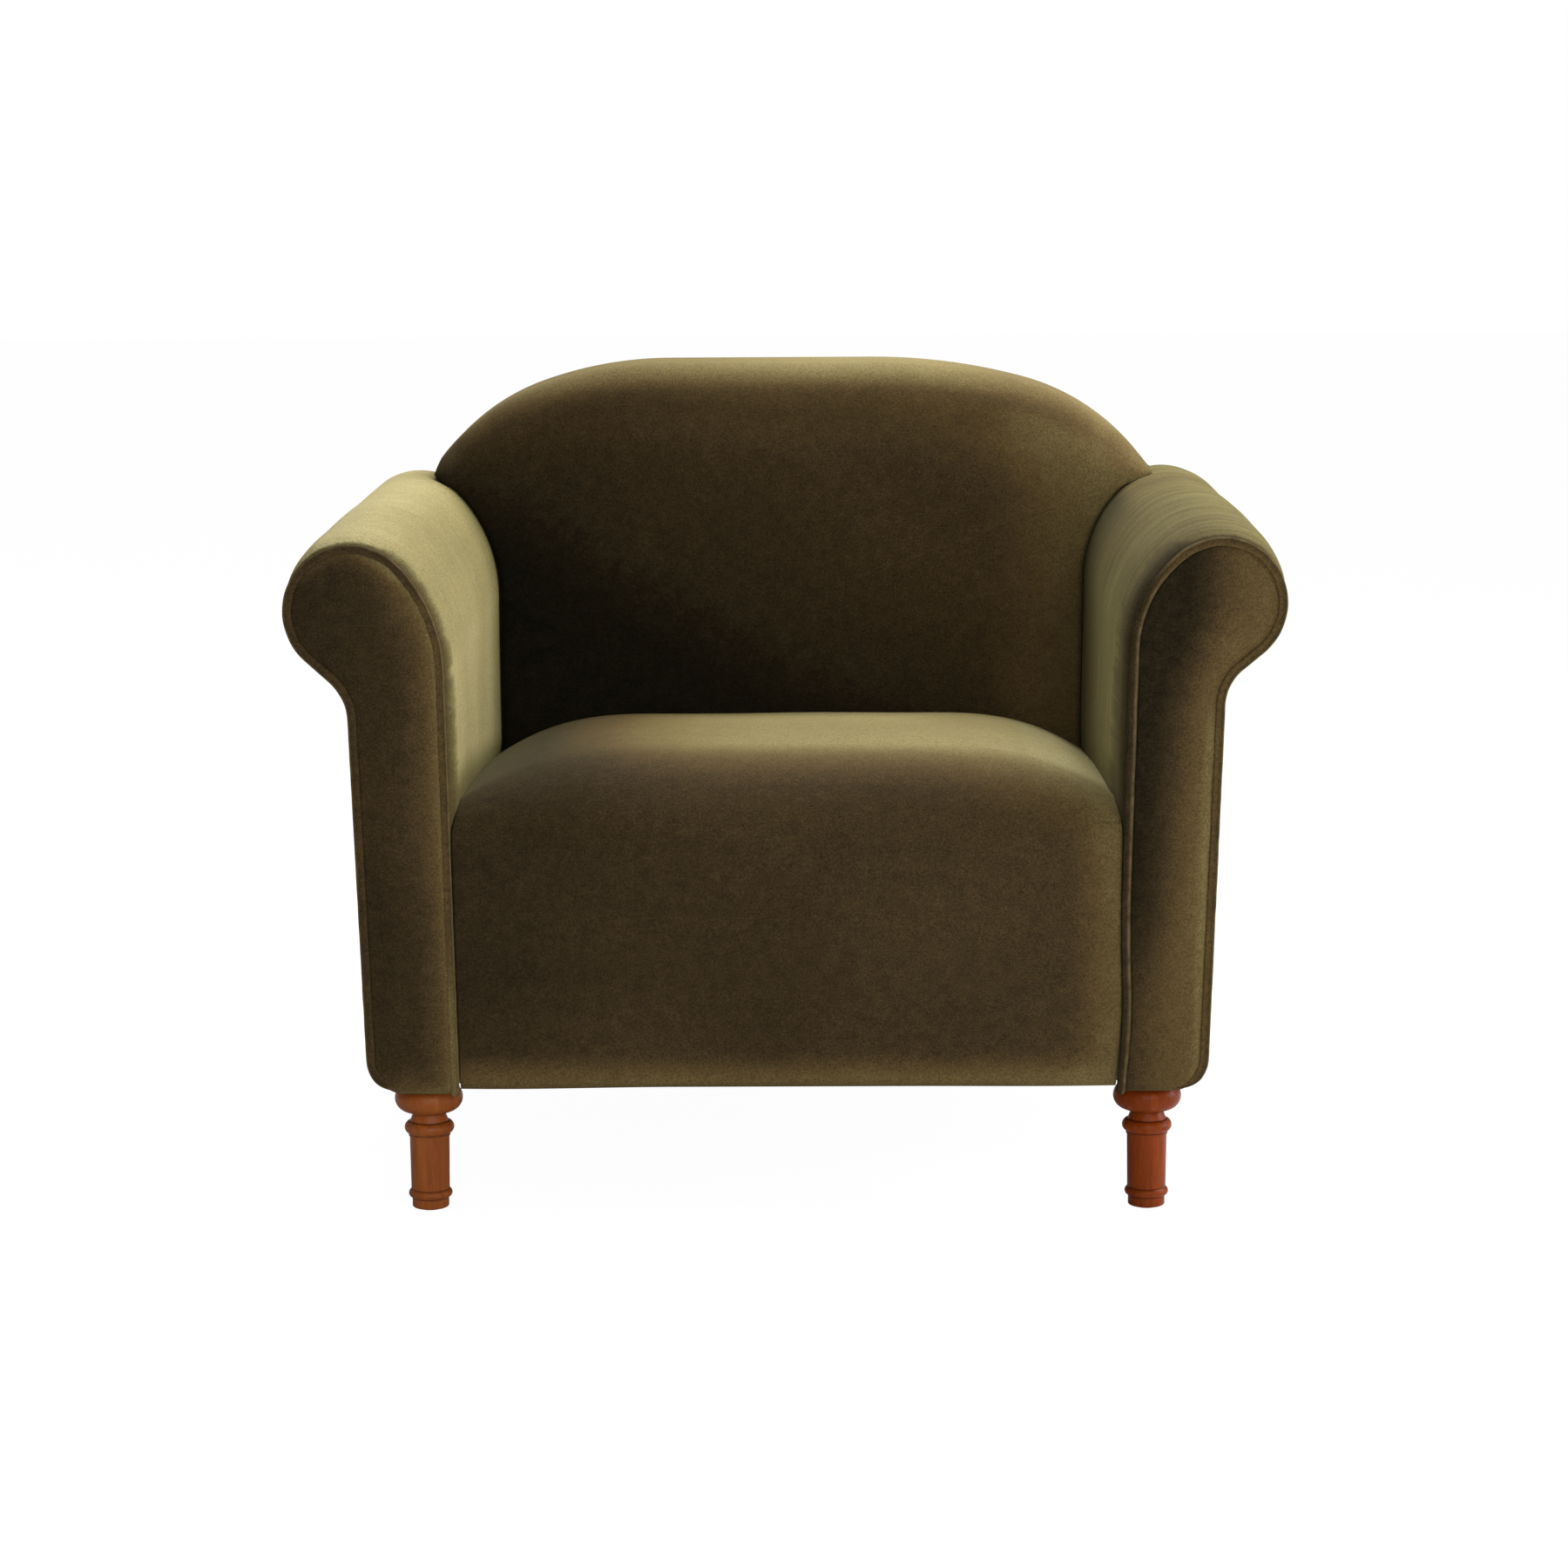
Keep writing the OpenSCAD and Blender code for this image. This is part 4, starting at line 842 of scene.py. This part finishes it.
# ---- seat: one piece of velvet from the back over the rounded front to the hem
seat = {"across": 140, "along": 180, "half": 0.325, "rear": 0.036, "flat": 0.150, "power": 2.8, "tuck": 0.045,
        "hemRadius": 0.010, "bulge": 0.0045, "pucker": 0.0016, "soft": 0.0014, "fill": 0.85,
        # share of each half that shows; the rest turns down beside the arm
        "shown": 0.93,
        # where the tuck behind, the top, the nose, the face and the turn of the hem end, along the velvet
        "ends": (0.06, 0.40, 0.66, 0.91, 0.96),
        # the side view in the middle and beside the arms: length of the nose, height of its top and foot, its
        # squareness, and how far and how evenly the top falls to the back
        "nose": (0.135, 0.048), "high": (0.454, 0.4195), "foot": (0.357, 0.384), "square": (2.15, 2.05),
        "toBack": (0.0285, 0.035), "even": (2.0, 1.5),
        # how much painted highlight lies on top, from left to right, and how it fades in behind the nose
        "topLay": ((-0.256, 0.11), (-0.22, 0.22), (-0.186, 0.31), (-0.15, 0.45), (-0.097, 0.57), (-0.026, 0.65),
                   (0.044, 0.66), (0.186, 0.69), (0.24, 0.75), (0.283, 0.94)),
        "fade": ((-0.352, 0.0), (-0.33, 0.12), (-0.285, 0.46), (-0.256, 0.76), (-0.225, 1.0))}


def seatEnd(side, x, z):
    e = max(0.004, innerX(side, z) - 0.010 - abs(x))
    return backFace(x, z) + rounding(e, back["armInset"], back["armDepth"]) - softGap


def makeSeat():
    faceY = chair["frontY"] + chair["seatSetback"]
    r, half, shown = seat["hemRadius"], seat["half"], seat["shown"]
    tuckEnd, topEnd, noseEnd, faceEnd, turnEnd = seat["ends"]

    # the side view as (y, z, normal y, normal z, share of the tuck) for t from 0 at the back to 1 under the hem;
    # fall goes from 0 in the middle to 1 beside an arm
    def sideView(t, end, fall, hem):
        nose, high, foot, k, drop, even = (mixed(*seat[w], fall) for w in
                                           ("nose", "high", "foot", "square", "toBack", "even"))
        y = faceY + 0.004 * fall
        noseY = y + nose
        if t < tuckEnd:
            f = t / tuckEnd
            return end + 0.006 * (1 - f), high - drop - seat["rear"] * (1 - f) ** 1.5, 0.0, 1.0, 1.0
        if t < topEnd:
            f = (t - tuckEnd) / (topEnd - tuckEnd)
            return mixed(end, noseY, f), high - drop * (1 - f) ** even, 0.0, 1.0, 1.0
        if t < noseEnd:
            a = (t - topEnd) / (noseEnd - topEnd) * math.pi / 2
            sy, sz = math.sin(a) ** (2 / k), max(0.0, math.cos(a)) ** (2 / k)
            share = mixed(1, 0.15, math.sin(a))
            return noseY - nose * sy, foot + (high - foot) * sz, -math.sin(a), math.cos(a), share
        if t < faceEnd:
            f = (t - noseEnd) / (faceEnd - noseEnd)
            return y - seat["bulge"] * math.sin(math.pi * f), mixed(foot, hem + r, f), -1.0, 0.0, 0.15
        if t < turnEnd:
            a = (t - faceEnd) / (turnEnd - faceEnd) * math.pi / 2
            return y + r - r * math.cos(a), hem + r - r * math.sin(a), -math.cos(a), -math.sin(a), 0.15
        f = (t - turnEnd) / (1 - turnEnd)
        return y + r + 0.010 * f, hem, 0.0, -1.0, 0.1 * (1 - f)

    def place(u, v):
        s = 2 * u - 1
        side = "right" if s > 0 else "left"
        edge = clamped((abs(s) - shown) / (1 - shown))
        s = math.copysign(min(abs(s) / shown, 1.0), s)
        s = math.copysign(1 - (1 - abs(s)) ** 1.25, s)
        fall = clamped((abs(s) * half - seat["flat"]) / (half - seat["flat"])) ** seat["power"]
        hem = chair["hem"] - (0.0022 if s < 0 else 0.0008) * smooth((abs(s) - 0.35) / 0.6)
        y, z, ny, nz, share = sideView(v, backFaceY, fall, hem)
        down = seat["tuck"] * edge * share
        x = s * (armInner(side, y, max(z - max(0.0, nz) * down, chair["legHeight"])) - softGap)
        y, z, ny, nz, share = sideView(v, seatEnd(side, x, z - down), fall, hem)
        # small puckers where the front corners are pleated
        corner = smooth(1 - abs(v - 0.60) / 0.10) * smooth((abs(s) - 0.80) / 0.17)
        pucker = seat["pucker"] * corner * noise.noise(Vector((v * 120, abs(s) * 6, 1.5 if s > 0 else 7.5)))
        soft = seat["soft"] * noise.noise(Vector((x * 7, v * 9, 3.3)))
        off = down + pucker - 0.002 * (1 - s * s) * share - soft
        return Vector((x, y - ny * off, z - (nz * off if nz > 0 else -0.004 * edge)))

    bm = gridSheet(seat["across"], seat["along"], place)
    faceAwayFrom(bm, Vector((0, -0.05, 0.30)))

    # painted highlight along the top, most of all on the right, painted light rising toward the right on the front,
    # and lighter along the hem
    def paintedLayAt(v):
        p = v.co
        front = mixed(0.165, 0.235, smooth((p.x + 0.36) / 0.62)) + 0.17 * smooth((p.x - 0.275) / 0.055)
        front += 0.03 * math.exp(-((p.z - 0.41) / 0.03) ** 2)
        front += 0.03 * smooth((0.25 - p.z) / 0.06) * smooth(-p.x / 0.2)
        low = 0.19 * smooth((0.174 - p.z) / 0.034) * (1 - 0.8 * smooth((p.x - 0.29) / 0.03))
        far = 0.06 * smooth((p.y + 0.12) / 0.15) * smooth((p.x + 0.20) / 0.15) * smooth((0.20 - p.x) / 0.10)
        # the painted highlight reaches further forward on the right
        reach = p.y + 0.040 * smooth((p.x - 0.10) / 0.20)      # the light pile reaches further forward on the right
        base = mixed(front, between(seat["topLay"], p.x), between(seat["fade"], reach))
        return base + low + far + 0.030 * drift(p, 7, 6.0)

    paintLay(bm, paintedLayAt)
    obj = finishPiece("seat", bm, velvetCloth, ["seat_cover", "seat_foam"], wall=0.002)


# ---- outside panels: thin velvet stretched over the liners
outsideArm = {"across": 80, "along": 120, "proud": 0.0016, "edge": 0.02}


def makeOutsideArm(side):
    left = side == "left"
    s0, s1 = arms[side]["neckEnd"] + 0.0005, arms[side]["end"]
    startY = chair["frontY"] + chair["facingDepth"] + 0.0003

    def place(u, v):
        s = mixed(s0, s1, u)
        p, n, _ = outlineAt(side, s)
        y = mixed(startY, rearY(p.y) - rearInset, v)
        edge = min(ease(d / outsideArm["edge"]) for d in (s - s0, y - startY, rearY(p.y) - y))
        q = p + n * (outsideArm["proud"] * edge - 0.0006)
        return Vector((q.x, y, q.y))

    bm = gridSheet(outsideArm["across"], outsideArm["along"], place)
    faceAwayFrom(bm, Vector((0.38, 0.0, 0.30)))
    paintLay(bm, lambda v: 0.25 + 0.04 * drift(v.co, 5, 4.1))
    area, wide, deep = clothArea(bm), s1 - s0, rearY(0.50) - startY
    obj = finishPiece("outside_arm_panel_" + side, bm, velvetCloth, ["outside_arm_" + side],
                      wall=0.0015, left=left)
    min(area, wide * deep)


outsideBack = {"cell": 0.0070, "crown": 0.0030, "edge": 0.0012, "wave": 0.0006, "flat": (0.984, 0.682)}


def rearHalfLine(side):
    meet = meetRoll(side, 0)
    line = [Vector((x, chair["hem"])) for x in (0, 0.08, 0.16, 0.24, 0.32, 0.38)]
    s = arms[side]["end"]
    while s > arms[side]["rollStart"]:
        p, n, _ = outlineAt(side, s)
        if (p - meet).length < 0.003:
            break
        line.append(Vector((p.x, max(p.y, chair["hem"]))))
        s -= 0.003
    return line + camelLine(side, meet)


def makeOutsideBack():
    line = bothHalves(rearHalfLine)
    bm, inFrom = panelGrid(evenLine(line, 1400), outsideBack["cell"])
    for v in bm.verts:
        d = inFrom(v)
        proud = outsideBack["edge"] * ease(d / 0.004) + outsideBack["crown"] * ease(d / 0.16)
        wave = outsideBack["wave"] * noise.noise(Vector((v.co.x * 8, v.co.z * 8, 5.0))) * smooth(d / 0.03)
        v.co.y = rearY(v.co.z) - 0.0022 + proud + wave
    faceAwayFrom(bm, Vector((0, 0.20, 0.45)))
    paintLay(bm, lambda v: 0.24 + 0.04 * drift(v.co, 4, 7.7))
    area = clothArea(bm)
    obj = finishPiece("outside_back_panel", bm, velvetCloth, ["outside_back"], wall=0.0015)


# ---- dust cover: black lining stapled under the frame, open round the legs
dustCover = {"cell": 0.009, "hole": 0.0195, "sag": 0.0022, "pucker": 0.0006, "staples": 0.045, "wave": 0.0006}


def makeDustCover():
    low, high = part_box("dust_cover")
    legs = [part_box("leg_" + n) for n in ("front_left", "front_right", "rear_left", "rear_right")]
    spots = [Vector(((a[0] + b[0]) / 2, (a[1] + b[1]) / 2, 0)) for a, b in legs]
    wide, deep = high[0] - low[0], high[1] - low[1]
    nx, ny = int(wide / dustCover["cell"]), int(deep / dustCover["cell"])
    bm = gridSheet(nx, ny, lambda u, v: Vector((mixed(low[0], high[0], u), mixed(low[1], high[1], v), 0)))
    cut = [f for f in bm.faces if min((f.calc_center_median() - p).length for p in spots) < dustCover["hole"]]
    bmesh.ops.delete(bm, geom=cut, context="FACES")
    for v in bm.verts:
        spot = min(spots, key=lambda p: (v.co - p).length)
        away = v.co - spot
        if v.is_boundary and away.length < dustCover["hole"] + 0.012:
            v.co = spot + away.normalized() * dustCover["hole"]
    for v in bm.verts:
        x, y = v.co.x, v.co.y
        d = min(x - low[0], high[0] - x, y - low[1], high[1] - y)
        pull = math.cos(2 * math.pi * (x + y) / dustCover["staples"])
        wave = dustCover["wave"] * noise.noise(Vector((x * 11, y * 11, 0.8))) * smooth(d / 0.03)
        v.co.z = (low[2] + 0.0004 - dustCover["sag"] * ease(d / 0.16)
                  + dustCover["pucker"] * pull * math.exp(-d / 0.012) + wave)
    faceAwayFrom(bm, Vector((0, 0, 0.4)))
    area = clothArea(bm)
    obj = finishPiece("dust_cover_cloth", bm, lining, ["dust_cover"], wall=0.0006)


for side in armLook:
    makeArmWrap(side)
    makeFacing(side)
    makeBand(side)
    makeOutsideArm(side)
print("arms made")
makeBack()
makeSeat()
print("seat and back made")
makeOutsideBack()
makeDustCover()
print("outside back and dust cover made")


# ---- floor and light
room = {"floor": 0.82, "shade": 0.10, "glow": 0.965, "world": 0.24, "aim": (0.0, -0.05, 0.45)}
# place, width and power of each soft lamp
lamps = {"topRightBack": ((1.5, 0.9, 2.5), 1.6, 82), "topBack": ((0.0, 1.6, 2.4), 1.8, 60),
         "lowRight": ((2.6, -0.2, 0.9), 1.2, 36), "frontRight": ((1.8, -3.0, 1.6), 1.4, 20),
         "front": ((0.3, -3.8, 1.3), 1.6, 36)}


def grey(level):
    return opaque((level,) * 3)


def makeFloor():
    bm = bmesh.new()
    bmesh.ops.create_grid(bm, x_segments=1, y_segments=1, size=14.0)
    mesh = bpy.data.meshes.new("floor")
    bm.to_mesh(mesh)
    bm.free()
    floor = bpy.data.objects.new("floor", mesh)
    scene.collection.objects.link(floor)
    mat, tree = freshMaterial("paperFloor")
    seen = addNode(tree, "LightPath", {}).outputs["Is Camera Ray"]
    matte = addNode(tree, "BsdfDiffuse", {"Color": grey(room["floor"])})
    glow = addNode(tree, "Emission", {"Strength": room["glow"]})
    faint = addNode(tree, "BsdfDiffuse", {"Color": grey(room["shade"])})
    both = addNode(tree, "AddShader", {0: faint.outputs[0], 1: glow.outputs[0]})
    mix = addNode(tree, "MixShader", {0: seen, 1: matte.outputs[0], 2: both.outputs[0]})
    addNode(tree, "OutputMaterial", {"Surface": mix.outputs[0]})
    mesh.materials.append(mat)


def makeWorld():
    world = bpy.data.worlds.new("studio")
    world.use_nodes = True
    tree = world.node_tree
    tree.nodes.clear()
    seen = addNode(tree, "LightPath", {}).outputs["Is Camera Ray"]
    dim, white = (addNode(tree, "Background", {"Color": grey(1), "Strength": strength})
                  for strength in (room["world"], 1.0))
    mix = addNode(tree, "MixShader", {0: seen, 1: dim.outputs[0], 2: white.outputs[0]})
    addNode(tree, "OutputWorld", {"Surface": mix.outputs[0]})
    scene.world = world


def makeLamps():
    for name, (place, size, power) in lamps.items():
        data = bpy.data.lights.new(name, "AREA")
        data.shape = "RECTANGLE"
        data.size = data.size_y = size
        data.energy = power
        lamp = bpy.data.objects.new(name, data)
        scene.collection.objects.link(lamp)
        lamp.location = place
        lamp.rotation_mode = "QUATERNION"
        lamp.rotation_quaternion = (Vector(room["aim"]) - Vector(place)).to_track_quat("-Z", "Y")


makeFloor()
makeWorld()
makeLamps()
scene.view_settings.view_transform = "Standard"
print("floor and light made")
